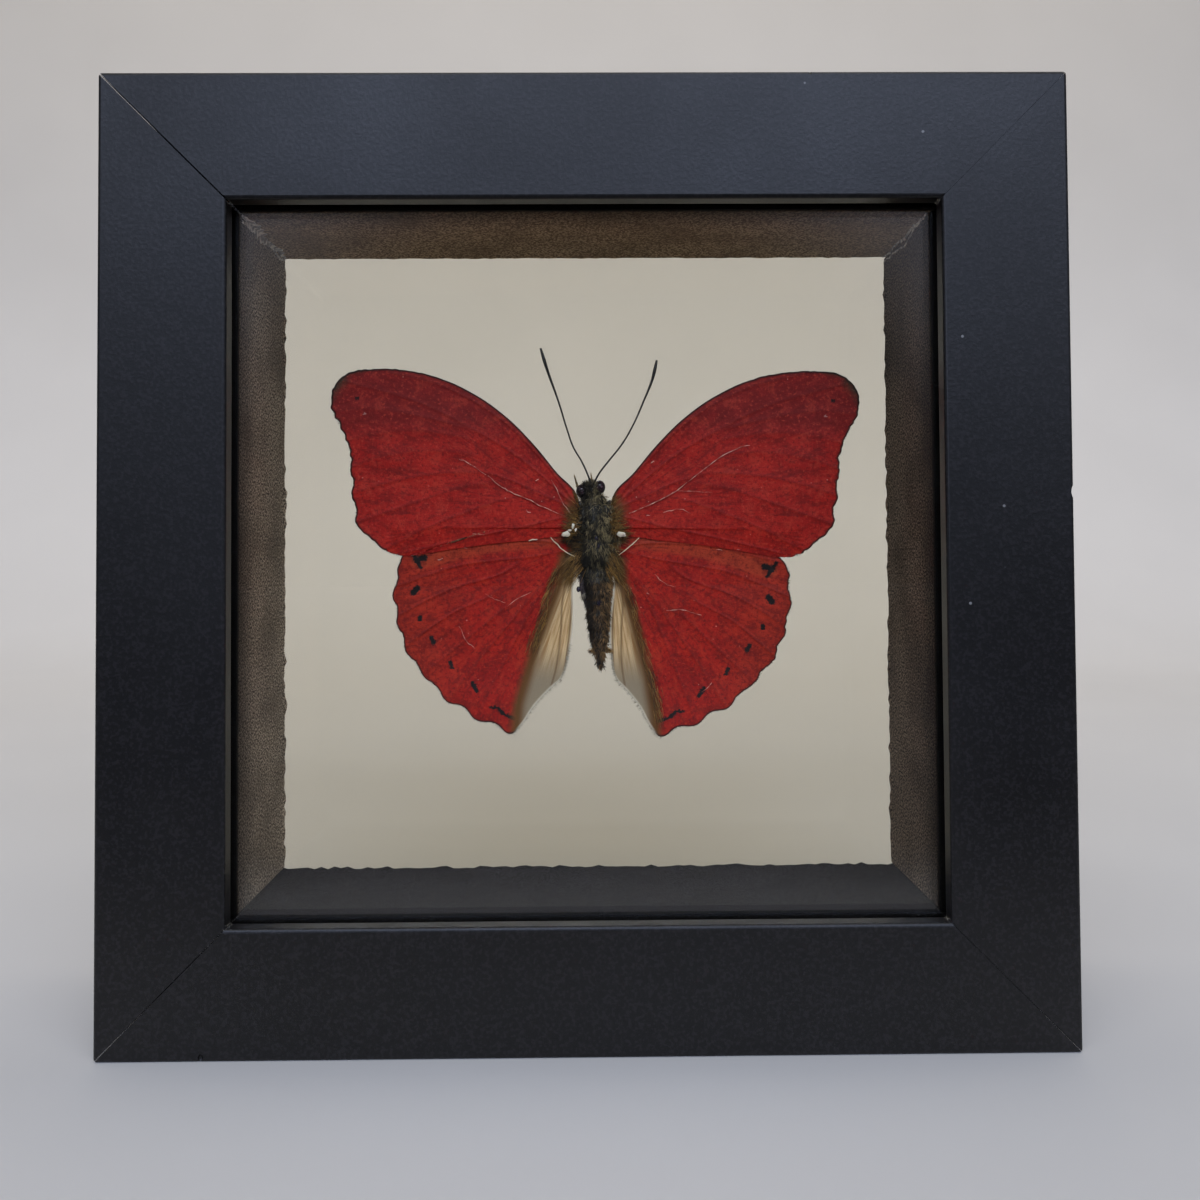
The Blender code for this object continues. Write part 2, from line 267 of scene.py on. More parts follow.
def strokes(tree, place, *marks):
    """All marks as one mask, their edges broken up as scales are."""
    ragged = add_node(tree, "ShaderNodeTexNoise", {"Vector": place, "Scale": 3.2})
    shaken = add_node(tree, "ShaderNodeVectorMath", {
        0: ragged.outputs["Color"], 1: (0.7, 0.7, 0.0), 2: place}, operation="MULTIPLY_ADD")
    moved = add_node(tree, "ShaderNodeVectorMath", {
        0: shaken.outputs[0], 1: (-0.35, -0.35, 0.0)}, operation="ADD").outputs[0]
    mask, *others = [stroke(tree, moved, *mark) for mark in marks]
    for other in others:
        mask = add_node(tree, "ShaderNodeMath", {0: mask, 1: other},
                        operation="MAXIMUM").outputs[0]
    return mask


def rows_of_scales(tree, place, across, along):
    """Streaks that fan out from the wing's root, as rows of scales and folds do."""
    split = add_node(tree, "ShaderNodeSeparateXYZ", {0: place})
    angle = add_node(tree, "ShaderNodeMath", {0: split.outputs[1], 1: split.outputs[0]},
                     operation="ARCTAN2").outputs[0]
    reach = add_node(tree, "ShaderNodeVectorMath", {0: place}, operation="LENGTH")
    fan = add_node(tree, "ShaderNodeCombineXYZ", {0: angle, 1: reach.outputs["Value"]})
    drawn = add_node(tree, "ShaderNodeVectorMath", {0: fan.outputs[0], 1: (across, along, 1.0)},
                     operation="MULTIPLY").outputs[0]
    return add_node(tree, "ShaderNodeTexNoise", {
        "Vector": drawn, "Scale": 1.0, "Detail": 3.0, "Roughness": 0.6,
        "Distortion": 0.4}).outputs["Fac"]


def scale_grain(tree, place, colour, dark, light):
    """Overlapping wing scales, drawn at about 0.25 mm, coarser than the real 0.1 mm so that
    they show: a velvety speckle with a few scales painted pale as glints, a painted
    highlight. Gives the colour and the scales' height."""
    fine = add_node(tree, "ShaderNodeTexNoise", {
        "Vector": place, "Scale": 1.9, "Detail": 3.0, "Roughness": 0.8}).outputs["Fac"]
    clouds = add_node(tree, "ShaderNodeTexNoise", {
        "Vector": place, "Scale": 0.42, "Detail": 3.0, "Distortion": 0.6}).outputs["Fac"]
    rows = rows_of_scales(tree, place, 30.0, 0.22)
    for value, darkest, light_span, lightest in ((clouds, 0.45, (0.54, 0.68), 0.28),
                                                 (rows, 0.55, (0.58, 0.74), 0.30),
                                                 (fine, 0.85, (0.54, 0.70), 0.75)):
        colour = lay(tree, colour, dark, value, (0.50, 0.34), (0.0, darkest))
        colour = lay(tree, colour, light, value, light_span, (0.0, lightest))
    # Painted highlight: a few scattered scales coloured pale as glints
    painted_glints = specks(tree, place, 0.55, (0.033, 0.0594), (0.55, 0.57))
    return lay(tree, colour, "#D89684", painted_glints), fine


def forewing_scales():
    """Crimson scales, darkest along the leading third, partly as painted shade, with an
    olive-black tip and edge.
    """
    material, tree, shader, _ = new_material(
        "crimson_wing_scales", Roughness=0.62, Specular_IOR_Level=0.25)
    place = wing_place(tree)
    vein, margin = wing_values(tree, "vein", "margin")
    up = add_node(tree, "ShaderNodeSeparateXYZ", {0: place}).outputs[1]
    root = add_node(tree, "ShaderNodeVectorMath", {0: place}, operation="LENGTH")
    broad, patchy = (add_node(tree, "ShaderNodeTexNoise", {
        "Vector": place, "Scale": per_mm, "Detail": detail}).outputs["Fac"]
        for per_mm, detail in ((0.16, 2.0), (1.3, 3.0)))
    colour = lay(tree, "#AC1208", "#BE1E10", broad, (0.35, 0.65))
    # Darker over the leading third: partly the scales' own colour, partly painted shadow and
    # reflection from the glass
    colour = lay(tree, colour, "#7E1614", up, (9.0, 13.5), (0.0, 0.72))
    colour = lay(tree, colour, "#5A0F0C", vein, (0.05, 0.34), (0.30, 0.0))
    colour, scales = scale_grain(tree, place, colour, "#740A06", "#CE4630")
    colour = lay(tree, colour, "#6E4A24", root.outputs["Value"], (0.8, 3.2), (0.85, 0.0))
    worn = add_node(tree, "ShaderNodeMapRange", {
        0: patchy, 1: 0.25, 2: 0.55, 3: 0.55, 4: 1.0}, **SMOOTH).outputs[0]
    tip = strokes(tree, place, ((36.8, 18.0), (35.4, 19.8), 4.8),
                  ((34.0, 20.6), (29.5, 21.8), 2.4))
    tip = add_node(tree, "ShaderNodeMath", {0: tip, 1: worn}, operation="MULTIPLY").outputs[0]
    colour = lay(tree, colour, "#3E3420", tip)
    for tint, mark in (("#2A1210", ((31.3, 16.3), (31.4, 16.2), 0.42)),
                       ("#B08078", ((30.3, 14.0), (30.4, 14.0), 0.26))):
        colour = lay(tree, colour, tint, strokes(tree, place, mark))
    colour = lay(tree, colour, "#1C120C", margin, (0.10, 0.42), (0.92, 0.0))
    coat(tree, shader, colour, scales, 0.06)
    return material


def hindwing_scales():
    """Scarlet scales paling to orange at the leading edge, black spots near the margin, and
    a bare fold of parchment beside the abdomen with brown veins."""
    material, tree, shader, _ = new_material(
        "scarlet_wing_scales", Roughness=0.62, Specular_IOR_Level=0.25)
    place = wing_place(tree)
    vein, fold, margin = wing_values(tree, "vein", "fold", "margin")
    split = add_node(tree, "ShaderNodeSeparateXYZ", {0: place})
    broad = add_node(tree, "ShaderNodeTexNoise", {"Vector": place, "Scale": 0.18})
    dusty = add_node(tree, "ShaderNodeTexNoise", {
        "Vector": place, "Scale": 0.55, "Detail": 4.0, "Roughness": 0.7}).outputs["Fac"]
    colour = lay(tree, "#A20D05", "#B81808", broad.outputs["Fac"], (0.35, 0.65))
    colour = lay(tree, colour, "#AC3418", split.outputs[0], (14.0, 25.0), (0.0, 0.5))
    # An orange-brown band under the forewing's edge: partly the wing's own colour, partly painted
    # light against the forewing's shadow
    band = strokes(tree, place, ((4.0, 1.1), (13.5, 0.3), 2.2),
                   ((13.5, 0.3), (23.0, -2.0), 2.2))
    clouded = add_node(tree, "ShaderNodeMath", {0: band, 1: 0.38}, operation="MULTIPLY")
    colour = lay(tree, colour, "#B85A30", clouded.outputs[0])
    colour = lay(tree, colour, "#AE301A", dusty, (0.52, 0.70), (0.0, 0.55))
    colour = lay(tree, colour, "#7C0A06", dusty, (0.48, 0.32), (0.0, 0.75))
    colour = lay(tree, colour, "#DCA898", specks(tree, place, 0.8, (0.032, 0.0576), (0.70, 0.72)))
    colour = lay(tree, colour, "#6E120C", vein, (0.05, 0.34), (0.28, 0.0))
    colour, scales = scale_grain(tree, place, colour, "#6E0602", "#CE3E20")
    colour = lay(tree, colour, "#140D0C", strokes(tree, place, *HINDWING_SPOTS))
    streaks = rows_of_scales(tree, place, 44.0, 0.16)
    parchment = lay(tree, "#B88C58", "#F0CE9C", streaks, (0.3, 0.7))
    parchment = lay(tree, parchment, "#A08F76", split.outputs[1], (-13.0, -20.0))
    parchment = lay(tree, parchment, "#6E4E2A", vein, (0.04, 0.24), (0.6, 0.0))
    parchment = lay(tree, parchment, "#704A22", fold, (2.2, 0.6))
    colour = lay(tree, colour, parchment, fold, (-0.9, 0.6))
    edge = lay(tree, "#1C100C", "#E2D6C0", fold, (0.0, 1.5))
    colour = lay(tree, colour, edge, margin, (0.08, 0.34), (0.90, 0.0))
    coat(tree, shader, colour, scales, 0.06)
    return material


def underside_scales():
    """The pale dry-leaf underside that the back pane shows: tan, with a thin brown line."""
    material, tree, shader, _ = new_material("tan_underside_scales", Roughness=0.7)
    place = wing_place(tree)
    vein, margin = wing_values(tree, "vein", "margin")
    broad = add_node(tree, "ShaderNodeTexNoise", {
        "Vector": place, "Scale": 0.3, "Detail": 3.0}).outputs["Fac"]
    colour = lay(tree, "#8A5A3C", "#A87A55", broad)
    colour = lay(tree, colour, "#5E3A22", vein, (0.08, 0.35), (0.6, 0.0))
    line = strokes(tree, place, ((29.5, 19.0), (20.0, -5.0), 0.5),
                   ((19.0, 1.0), (8.0, -21.0), 0.5))
    colour = lay(tree, colour, "#4A2C1A", line)
    colour, scales = scale_grain(tree, place, colour, "#5A3A26", "#C09A74")
    colour = lay(tree, colour, "#3A2418", margin, (0.12, 0.5), (0.8, 0.0))
    coat(tree, shader, colour, scales, 0.06)
    return material


def hair(name, dark, light):
    """Dry insect hair: matt with a faint gloss, each strand its own shade."""
    material, tree, shader, _ = new_material(name, Roughness=0.7)
    shade = add_node(tree, "ShaderNodeAttribute", attribute_name="shade").outputs["Fac"]
    coat(tree, shader, lay(tree, dark, light, shade))
    return material


def horn(name, dark, light, size_mm, roughness):
    """Insect shell: thin hard horn, dark, glossy where it isn't haired."""
    material, tree, shader, place = new_material(name, Roughness=roughness, IOR=1.55)
    speckle = add_node(tree, "ShaderNodeTexNoise", {
        "Vector": place, "Scale": per_metre(size_mm), "Detail": 3.0}).outputs["Fac"]
    coat(tree, shader, lay(tree, dark, light, speckle, (0.35, 0.7)), speckle, 0.05)
    return material


def studio_paper(name, colour):
    """Matt pale backdrop paper with a faint unevenness."""
    material, tree, shader, place = new_material(name, Roughness=0.9)
    mottled = add_node(tree, "ShaderNodeTexNoise", {
        "Vector": place, "Scale": per_metre(60.0)}).outputs["Fac"]
    tint = lay(tree, colour, "#DAD6CF", mottled)
    # Painted shade: it darkens towards the viewer, so that the glass has no bright floor to
    # mirror
    ahead = add_node(tree, "ShaderNodeSeparateXYZ", {0: place}).outputs[1]
    coat(tree, shader, lay(tree, "#2E2A28", tint, ahead, (-0.11, -0.045)))
    return material


# ---------------------------------------------------------------- modelling helpers

def deselect_all():
    if bpy.context.mode != "OBJECT":
        bpy.ops.object.mode_set(mode="OBJECT")
    bpy.ops.object.select_all(action="DESELECT")


def make_active(item):
    deselect_all()
    item.select_set(True)
    bpy.context.view_layer.objects.active = item


def edit(item, mode="FACE"):
    make_active(item)
    bpy.ops.object.mode_set(mode="EDIT")
    bpy.ops.mesh.select_mode(type=mode)


def leave_edit():
    bpy.ops.object.mode_set(mode="OBJECT")


def pick_faces(item, test):
    """Select the faces whose middle and normal pass the test."""
    shape = bmesh.from_edit_mesh(item.data)
    for face in shape.faces:
        face.select_set(test(face.calc_center_median(), face.normal))
    bmesh.update_edit_mesh(item.data)


def pick_edges(item, test):
    """Select the edges whose two ends pass the test."""
    shape = bmesh.from_edit_mesh(item.data)
    for edge in shape.edges:
        edge.select_set(test(edge.verts[0].co, edge.verts[1].co))
    bmesh.update_edit_mesh(item.data)


def cube(name, lowest, highest):
    """A box between two corners, its place in its mesh."""
    deselect_all()
    bpy.ops.mesh.primitive_cube_add(size=1.0, location=(lowest + highest) / 2)
    item = bpy.context.object
    item.name = name
    item.scale = highest - lowest
    bpy.ops.object.transform_apply(location=True, rotation=True, scale=True)
    return item


def apply_modifier(item, kind, **settings):
    make_active(item)
    modifier = item.modifiers.new(kind.title(), kind)
    for name, value in settings.items():
        setattr(modifier, name, value)
    bpy.ops.object.modifier_apply(modifier=modifier.name)


def make_normals_out(item):
    edit(item)
    bpy.ops.mesh.select_all(action="SELECT")
    bpy.ops.mesh.remove_doubles(threshold=0.000001)
    bpy.ops.mesh.normals_make_consistent(inside=False)
    leave_edit()


def smooth(item, angle=180.0):
    make_active(item)
    if angle >= 180.0:
        bpy.ops.object.shade_smooth()
    else:
        bpy.ops.object.shade_smooth_by_angle(angle=math.radians(angle))


def finish_piece(item, slot, *materials, replaces=()):
    """Give a piece its materials, hang it on the body, and hide the parts that it stands for."""
    item.data.materials.clear()
    for material in materials:
        item.data.materials.append(material)
    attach(item, BODY)
    if replaces:
        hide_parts(*replaces)
    return item


def move_points(item, rule):
    """Move each vertex by the offset that the rule gives for its place."""
    for vertex in item.data.vertices:
        vertex.co = vertex.co + rule(vertex.co.copy())


def wobble(place, size_mm, seed=0.0):
    """Smooth noise from -1 to 1 with bumps of about size_mm."""
    return noise.noise(place / (size_mm * MM) + Vector((seed, seed * 1.7, -seed)))


def curve_mesh(curve, knots, closed=False):
    """Make a mesh of a curve laid smoothly through its knots, each a place and a radius."""
    spline = curve.splines.new("BEZIER")
    spline.bezier_points.add(len(knots) - 1)
    for knot, (place, radius) in zip(spline.bezier_points, knots):
        knot.co = place
        knot.radius = radius
        knot.handle_left_type = "AUTO"
        knot.handle_right_type = "AUTO"
    spline.use_cyclic_u = closed
    item = bpy.data.objects.new(curve.name, curve)
    bpy.context.collection.objects.link(item)
    make_active(item)
    bpy.ops.object.convert(target="MESH")
    return bpy.context.object


# ---------------------------------------------------------------- frame

ARRIS = 0.45 * MM
FLAT_FACE = 60 * MM * MM       # a face larger than this stays flat beside the arrises
# Each corner: its directions from the frame's middle and how far its mitre has opened
CORNERS = {
    "top_left": (-1, 1, 0.18 * MM), "top_right": (1, 1, 0.03 * MM),
    "bottom_left": (-1, -1, 0.09 * MM), "bottom_right": (1, -1, 0.05 * MM),
}
RAILS = {"rail_top": (0, 1), "rail_bottom": (0, -1), "rail_left": (-1, 0),
         "rail_right": (1, 0)}     # which way each lies from the frame's middle
MITRE_GLUE = (0.3 * MM, 2.0 * MM)  # from the front face, where a mitre's glue starts and ends
# Knocks in the arrises: rail, place and radius
DENTS = (
    ("rail_right", Vector((WIDTH / 2 + 0.25 * MM, FRONT + 0.1 * MM, 68.4 * MM)), 0.62 * MM),
    ("rail_top", Vector((28.0 * MM, FRONT - 0.12 * MM, HEIGHT + 0.1 * MM)), 0.38 * MM),
    ("rail_bottom", Vector((-47.0 * MM, FRONT - 0.16 * MM, 0.5 * MM)), 0.36 * MM),
)


def frame_ring():
    """The whole frame in one: a block with a pocket cut from each side, so that a lip is
    left round the front opening, and softened arrises all round."""
    ring = cube("ring", low, high)
    edit(ring)
    pick_faces(ring, lambda middle, normal: normal.y < -0.9)
    bpy.ops.mesh.inset(thickness=RAIL_WIDTH)
    bpy.ops.mesh.extrude_region_move(
        TRANSFORM_OT_translate={"value": (0.0, LIP_BACK - FRONT, 0.0)})
    bpy.ops.mesh.delete(type="FACE")
    pick_faces(ring, lambda middle, normal: normal.y > 0.9)
    bpy.ops.mesh.inset(thickness=RABBET_INSET)
    bpy.ops.mesh.extrude_region_move(
        TRANSFORM_OT_translate={"value": (0.0, LIP_BACK - BACK, 0.0)})
    bpy.ops.mesh.delete(type="FACE")
    bpy.ops.mesh.select_mode(type="EDGE")
    bpy.ops.mesh.select_all(action="DESELECT")
    bpy.ops.mesh.select_non_manifold()
    bpy.ops.mesh.bridge_edge_loops()
    leave_edit()
    make_normals_out(ring)
    apply_modifier(ring, "BEVEL", width=ARRIS, segments=4, limit_method="ANGLE",
                   angle_limit=math.radians(40))
    return ring


def mitred_rail(ring, name):
    """One rail: the ring cut on the two mitres at its ends."""
    rail = ring.copy()
    rail.data = ring.data.copy()
    rail.name = name + "_lacquered"
    bpy.context.collection.objects.link(rail)
    outward = RAILS[name]
    for seam, (across, up, opened) in CORNERS.items():
        if name.split("_")[1] not in seam:
            continue
        corner = CENTRE + Vector((across * WIDTH / 2, 0.0, up * HEIGHT / 2))
        corner.y = BACK               # the joint is tight behind and opens to the front
        # Normal of the mitre plane, pointing away from the rail
        away = Vector((across, 0.0, -up)).normalized()
        if away.x * outward[0] + away.z * outward[1] > 0:
            away.negate()
        tilted = away - Vector((0.0, opened / 2 / (BACK - FRONT), 0.0))
        edit(rail)
        bpy.ops.mesh.select_all(action="SELECT")
        bpy.ops.mesh.bisect(plane_co=corner, plane_no=tilted.normalized(), use_fill=True,
                            clear_outer=True, threshold=0.0000001)
        leave_edit()
    return rail


def fill_mitre(seam, across, up, opened, filler):
    """The thin dark film of glue left in a mitre that has opened, just under its edge."""
    inner = WIDTH / 2 - RAIL_WIDTH + 0.3 * MM
    outer = WIDTH / 2 - 0.25 * MM
    half = opened * 0.22
    film = cube("mitre_glue_" + seam, Vector((inner, FRONT + MITRE_GLUE[0], -half)),
                Vector((outer, FRONT + MITRE_GLUE[1], half)))
    corner = CENTRE + Vector((across * WIDTH / 2, 0.0, up * HEIGHT / 2))

    def lay(place):
        along = place.x - WIDTH / 2
        aside = place.z * math.sqrt(0.5)
        spot = Vector((corner.x + across * (along + aside), place.y,
                       corner.z + up * (along - aside)))
        return spot - place

    move_points(film, lay)
    make_normals_out(film)
    finish_piece(film, "frame_paint", filler)


def cut_dents(rail, name):
    """Take small knocks out of the arrises."""
    for owner, place, radius in DENTS:
        if owner != name:
            continue
        deselect_all()
        bpy.ops.mesh.primitive_ico_sphere_add(subdivisions=3, radius=radius, location=place)
        chisel = bpy.context.object
        chisel.scale = (1.0, 1.3, 1.5)
        apply_modifier(rail, "BOOLEAN", operation="DIFFERENCE", object=chisel)
        bpy.data.objects.remove(chisel, do_unlink=True)


def build_rails(lacquer, filler):
    """Four lacquered rails cut from one ring, and the glue in their mitres."""
    for seam, (across, up, opened) in CORNERS.items():
        fill_mitre(seam, across, up, opened, filler)
    ring = frame_ring()
    for name in RAILS:
        rail = mitred_rail(ring, name)
        cut_dents(rail, name)
        smooth(rail, 35.0)
        for polygon in rail.data.polygons:
            polygon.use_smooth = polygon.area < FLAT_FACE
        finish_piece(rail, "frame_paint", lacquer, replaces=(name,))
    bpy.data.objects.remove(ring, do_unlink=True)


# How far the torn rear edge of each spacer stands out into the window
RAGGED = {"top": 0.12 * MM, "left": 0.34 * MM, "right": 0.28 * MM, "bottom": 0.34 * MM}
TORN = 0.5 * MM                # depth of that edge
SAWN_STEP = 0.3 * MM           # spacing of the points along a strip
SAWN_STEP_DEEP = 0.9 * MM      # and from its front to its back


def lining_strip(node, slot, material, ragged, grit, seed):
    """A sawn strip along one side of the opening. Its face towards the opening is gritty
    and its rear edge there is torn into a ragged fringe of paint and fibre."""
    lowest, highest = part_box(node)
    strip = cube(node + "_sawn", lowest, highest)
    middle = (lowest + highest) / 2
    inward = CENTRE - middle
    inward.y = 0.0
    long_axis = 0 if abs(inward.x) < abs(inward.z) else 2
    inward.normalize()
    length = (highest - lowest)[long_axis]
    edit(strip, "EDGE")
    pick_edges(strip, lambda a, b: abs((a - b)[long_axis]) > 0.5 * length)
    bpy.ops.mesh.subdivide(number_cuts=int(length / SAWN_STEP))
    depth = highest.y - lowest.y
    pick_edges(strip, lambda a, b: abs(a.y - b.y) > 0.5 * depth)
    bpy.ops.mesh.subdivide(number_cuts=max(3, int(depth / SAWN_STEP_DEEP)))
    leave_edit()
    face = middle.dot(inward) + (highest - lowest).dot(
        Vector([abs(value) for value in inward])) / 2

    def shift(place):
        if place.dot(inward) < face - 0.05 * MM:
            return Vector((0.0, 0.0, 0.0))
        rise = grit * wobble(place, 0.7, seed)
        from_back = highest.y - place.y
        if from_back < TORN:
            tuft = max(0.0, wobble(place, 0.55, seed + 5.0) + 0.15)
            rise += ragged * (0.35 * wobble(place, 2.5, seed + 9.0) + 1.5 * tuft)
        return inward * rise

    move_points(strip, shift)
    smooth(strip, 60.0)
    return finish_piece(strip, slot, material, replaces=(node,))


def build_linings(paints, stop_paint):
    """The lining strip and the stop along each side of the opening."""
    for index, (side, paint) in enumerate(paints.items()):
        lining_strip("spacer_" + side, "strip_paint", paint, RAGGED[side], 0.05 * MM,
                     3.0 + index)
        lining_strip("stop_" + side, "frame_paint", stop_paint, 0.08 * MM, 0.02 * MM,
                     11.0 + index)


def glue_thread(name, side, width, wander, material, seed):
    """A torn thread of dried glue in an upper corner of the lining, from near the front pane
    to near the back one, wandering over both strips."""
    start = STRIP_FRONT + 1.5 * MM
    end = PANE - 0.6 * MM
    deselect_all()
    bpy.ops.mesh.primitive_grid_add(x_subdivisions=8, y_subdivisions=110, size=1.0)
    thread = bpy.context.object
    thread.name = name
    corner = CENTRE + Vector((side * OPENING, 0.0, OPENING_UP))
    for vertex in thread.data.vertices:
        across = vertex.co.x * 2.0
        along = vertex.co.y + 0.5
        middle = wander * noise.noise(Vector((along * 3.1, seed, 0.0))) * 2.2
        middle += 0.3 * MM * noise.noise(Vector((along * 14.0, seed, 2.0)))
        swell = 0.5 + 0.5 * math.sin(math.pi * min(1.0, along * 1.15)) ** 0.6
        spread = width * swell * (0.6 + 1.3 * abs(noise.noise(
            Vector((along * 11.0, seed, 5.0)))))
        reach = middle + across * spread
        lift = 0.05 * MM + 0.10 * MM * max(0.0, 1.0 - across ** 2)
        lift += 0.04 * MM * noise.noise(Vector((along * 40.0, across * 4.0, seed)))
        if reach < 0:
            offset = Vector((side * reach, 0.0, -lift))
        else:
            offset = Vector((-side * lift, 0.0, -reach))
        vertex.co = corner + offset + Vector((0.0, start + (end - start) * along, 0.0))
    apply_modifier(thread, "SOLIDIFY", thickness=0.04 * MM, offset=0.0)
    make_normals_out(thread)
    smooth(thread)
    finish_piece(thread, "glue", material)


# Threads of glue in an upper corner: side, number, width and wander in mm, and seed
GLUE_THREADS = (
    ("left", 1, 0.80, 0.4, 2.0), ("left", 2, 0.35, 0.9, 5.7), ("left", 3, 0.20, 1.3, 9.4),
    ("right", 1, 0.32, 0.8, 15.0), ("right", 2, 0.16, 1.2, 19.3),
)


def build_corner_glue(milky):
    for side, number, width, wander, seed in GLUE_THREADS:
        glue_thread(f"glue_thread_{side}_{number}", -1 if side == "left" else 1, width * MM,
                    wander * MM, milky, seed)


# ---------------------------------------------------------------- wings

WING_MAP = "wing"
MAP_SIZE = 60.0                  # mm across the wing's own map
MAP_ORIGIN = (10.0, 30.0)        # mm from the map's corner to the wing's root

BLADE = 0.12 * MM                # thickness of a wing

# Outlines in mm from each wing's root, as in the solids
FOREWING = (
    (0.0, 1.6), (3.3, 5.8), (6.8, 10.1), (10.8, 14.0), (15.3, 17.1), (20.0, 19.2),
    (24.5, 20.2), (29.0, 20.4), (32.2, 20.0), (34.2, 18.6), (35.0, 16.6), (34.9, 14.4),
    (33.9, 12.4), (32.9, 10.2), (32.3, 7.8), (32.4, 5.8), (31.9, 4.2), (32.2, 2.6),
    (31.6, 0.6), (31.6, -1.6), (29.5, -3.7), (27.4, -5.5), (25.2, -6.2), (21.0, -5.8),
    (16.3, -5.1), (10.5, -4.4), (5.5, -3.9), (1.0, -2.6),
)
HINDWING = (
    (0.7, 0.4), (6.0, 2.2), (13.0, 2.6), (20.0, 1.8), (24.0, 0.2), (25.8, -2.0),
    (26.1, -4.6), (26.7, -6.9), (26.1, -8.9), (26.2, -11.0), (25.2, -12.9), (25.0, -14.8),
    (23.5, -16.4), (22.6, -18.2), (20.5, -20.0), (19.2, -22.0), (16.8, -22.8),
    (15.0, -24.7), (12.3, -25.2), (10.1, -26.7), (8.8, -25.7), (6.6, -22.6), (4.4, -20.3),
    (2.8, -18.8), (1.5, -14.0), (1.1, -10.0), (1.1, -6.0), (0.8, -2.0),
)
FOREWING_HUB = (3.0, 0.5)
HINDWING_HUB = (3.4, -0.6)

# Veins in mm from the root: subcosta, radials, the cell's bars, medians, cubitals, anal
FOREWING_VEINS = (
    ((0.6, 1.4), (5.0, 7.2), (11.0, 13.2), (19.0, 17.9), (27.0, 20.0)),
    ((1.0, 1.2), (8.0, 7.4), (15.0, 11.8), (23.0, 15.8), (33.6, 18.8)),
    ((15.0, 11.8), (22.0, 13.6), (29.0, 14.8), (34.9, 14.4)),
    ((15.0, 11.8), (15.9, 9.8), (15.0, 7.2), (14.0, 5.6)),
    ((15.8, 10.6), (22.0, 11.6), (28.0, 11.4), (33.0, 10.2)),
    ((15.4, 8.4), (22.0, 8.8), (28.0, 8.0), (32.4, 6.4)),
    ((1.2, 0.6), (6.0, 2.8), (10.0, 4.6), (14.0, 5.6), (21.0, 5.4), (28.0, 4.0), (32.2, 2.6)),
    ((10.0, 4.6), (17.0, 3.4), (25.0, 0.8), (31.5, -1.4)),
    ((6.0, 2.8), (13.0, 1.0), (21.0, -2.0), (27.4, -5.2)),
    ((1.0, -0.6), (8.0, -2.2), (16.0, -3.8), (24.5, -5.7)),
)
HINDWING_VEINS = (
    ((1.0, 0.0), (7.0, 0.9), (15.0, 0.8), (24.6, -0.8)),
    ((1.6, -0.6), (8.0, -1.6), (17.0, -2.6), (26.4, -5.6)),
    ((8.0, -1.6), (11.6, -4.0), (19.0, -6.2), (26.1, -9.8)),
    ((11.6, -4.0), (12.2, -6.6), (18.6, -9.6), (25.1, -14.2)),
    ((12.2, -6.6), (10.4, -8.4), (7.4, -7.6), (1.8, -2.0)),
    ((10.4, -8.4), (16.0, -13.0), (22.5, -18.0)),
    ((7.4, -7.6), (13.0, -14.4), (19.0, -21.8)),
    ((5.0, -5.2), (10.2, -15.0), (14.9, -24.4)),
    ((1.6, -2.4), (5.0, -9.6), (8.0, -17.6), (10.0, -26.2)),
    ((1.6, -2.4), (2.6, -7.7), (2.9, -12.5), (3.5, -17.0), (5.0, -22.5)),
    ((1.0, -3.6), (1.2, -7.0), (1.6, -11.8), (2.3, -17.5)),
)
# Where the scarlet ends and the bare fold beside the abdomen begins
FOLD_LINES = {
    "hindwing_left": ((2.6, -0.8), (3.2, -2.6), (3.7, -5.5), (4.6, -8.2), (5.7, -10.8),
                      (6.9, -14.0), (8.2, -18.3), (9.5, -22.5), (10.0, -27.0)),
    "hindwing_right": ((2.0, -1.5), (2.8, -5.0), (4.1, -8.2), (6.0, -13.3), (8.0, -18.7),
                       (9.4, -23.7), (10.0, -27.0)),
}
# How far a wing has set inwards for each mm down it
SLANT = {"hindwing_right": 0.045}
# Black marks near the hindwing's margin: start, end and width in mm
HINDWING_SPOTS = (
    ((22.3, -1.5), (23.4, -1.9), 0.9), ((23.9, -0.9), (22.9, -2.8), 0.55),
    ((23.3, -5.8), (23.9, -6.5), 0.8), ((22.9, -10.0), (22.9, -10.3), 0.6),
    ((21.3, -13.0), (21.0, -13.6), 0.65), ((18.6, -16.5), (18.4, -17.2), 0.55),
    ((15.5, -19.5), (14.9, -20.5), 0.55), ((12.9, -22.9), (11.9, -23.0), 0.4),
    ((11.9, -23.0), (11.2, -23.8), 0.42), ((11.2, -23.8), (9.6, -24.5), 0.42),
)


def outline_loop(name, outline, side):
    """A closed loop of edges, smooth through the outline's points, at the wing's root."""
    curve = bpy.data.curves.new(name, "CURVE")
    curve.dimensions = "2D"
    curve.fill_mode = "NONE"
    curve.resolution_u = 12
    return curve_mesh(curve, [((side * across * MM, up * MM, 0.0), 1.0)
                              for across, up in outline], closed=True)


def fill_with_rings(item, hub, side):
    """Fill the loop with rings drawn in towards the hub, close together at the margin."""
    centre = (side * hub[0] * MM, hub[1] * MM, 0.0)
    sizes = [1.0, 0.992, 0.982, 0.97, 0.955, 0.94]
    sizes += list(np.linspace(0.92, 0.04, 46))
    edit(item, "EDGE")
    bpy.ops.mesh.select_all(action="SELECT")
    for before, after in zip(sizes, sizes[1:]):
        bpy.ops.mesh.extrude_edges_move()
        bpy.ops.transform.resize(value=(after / before,) * 3, center_override=centre)
    bpy.ops.mesh.merge(type="CENTER")
    bpy.ops.mesh.select_all(action="SELECT")
    bpy.ops.mesh.normals_make_consistent(inside=False)
    leave_edit()


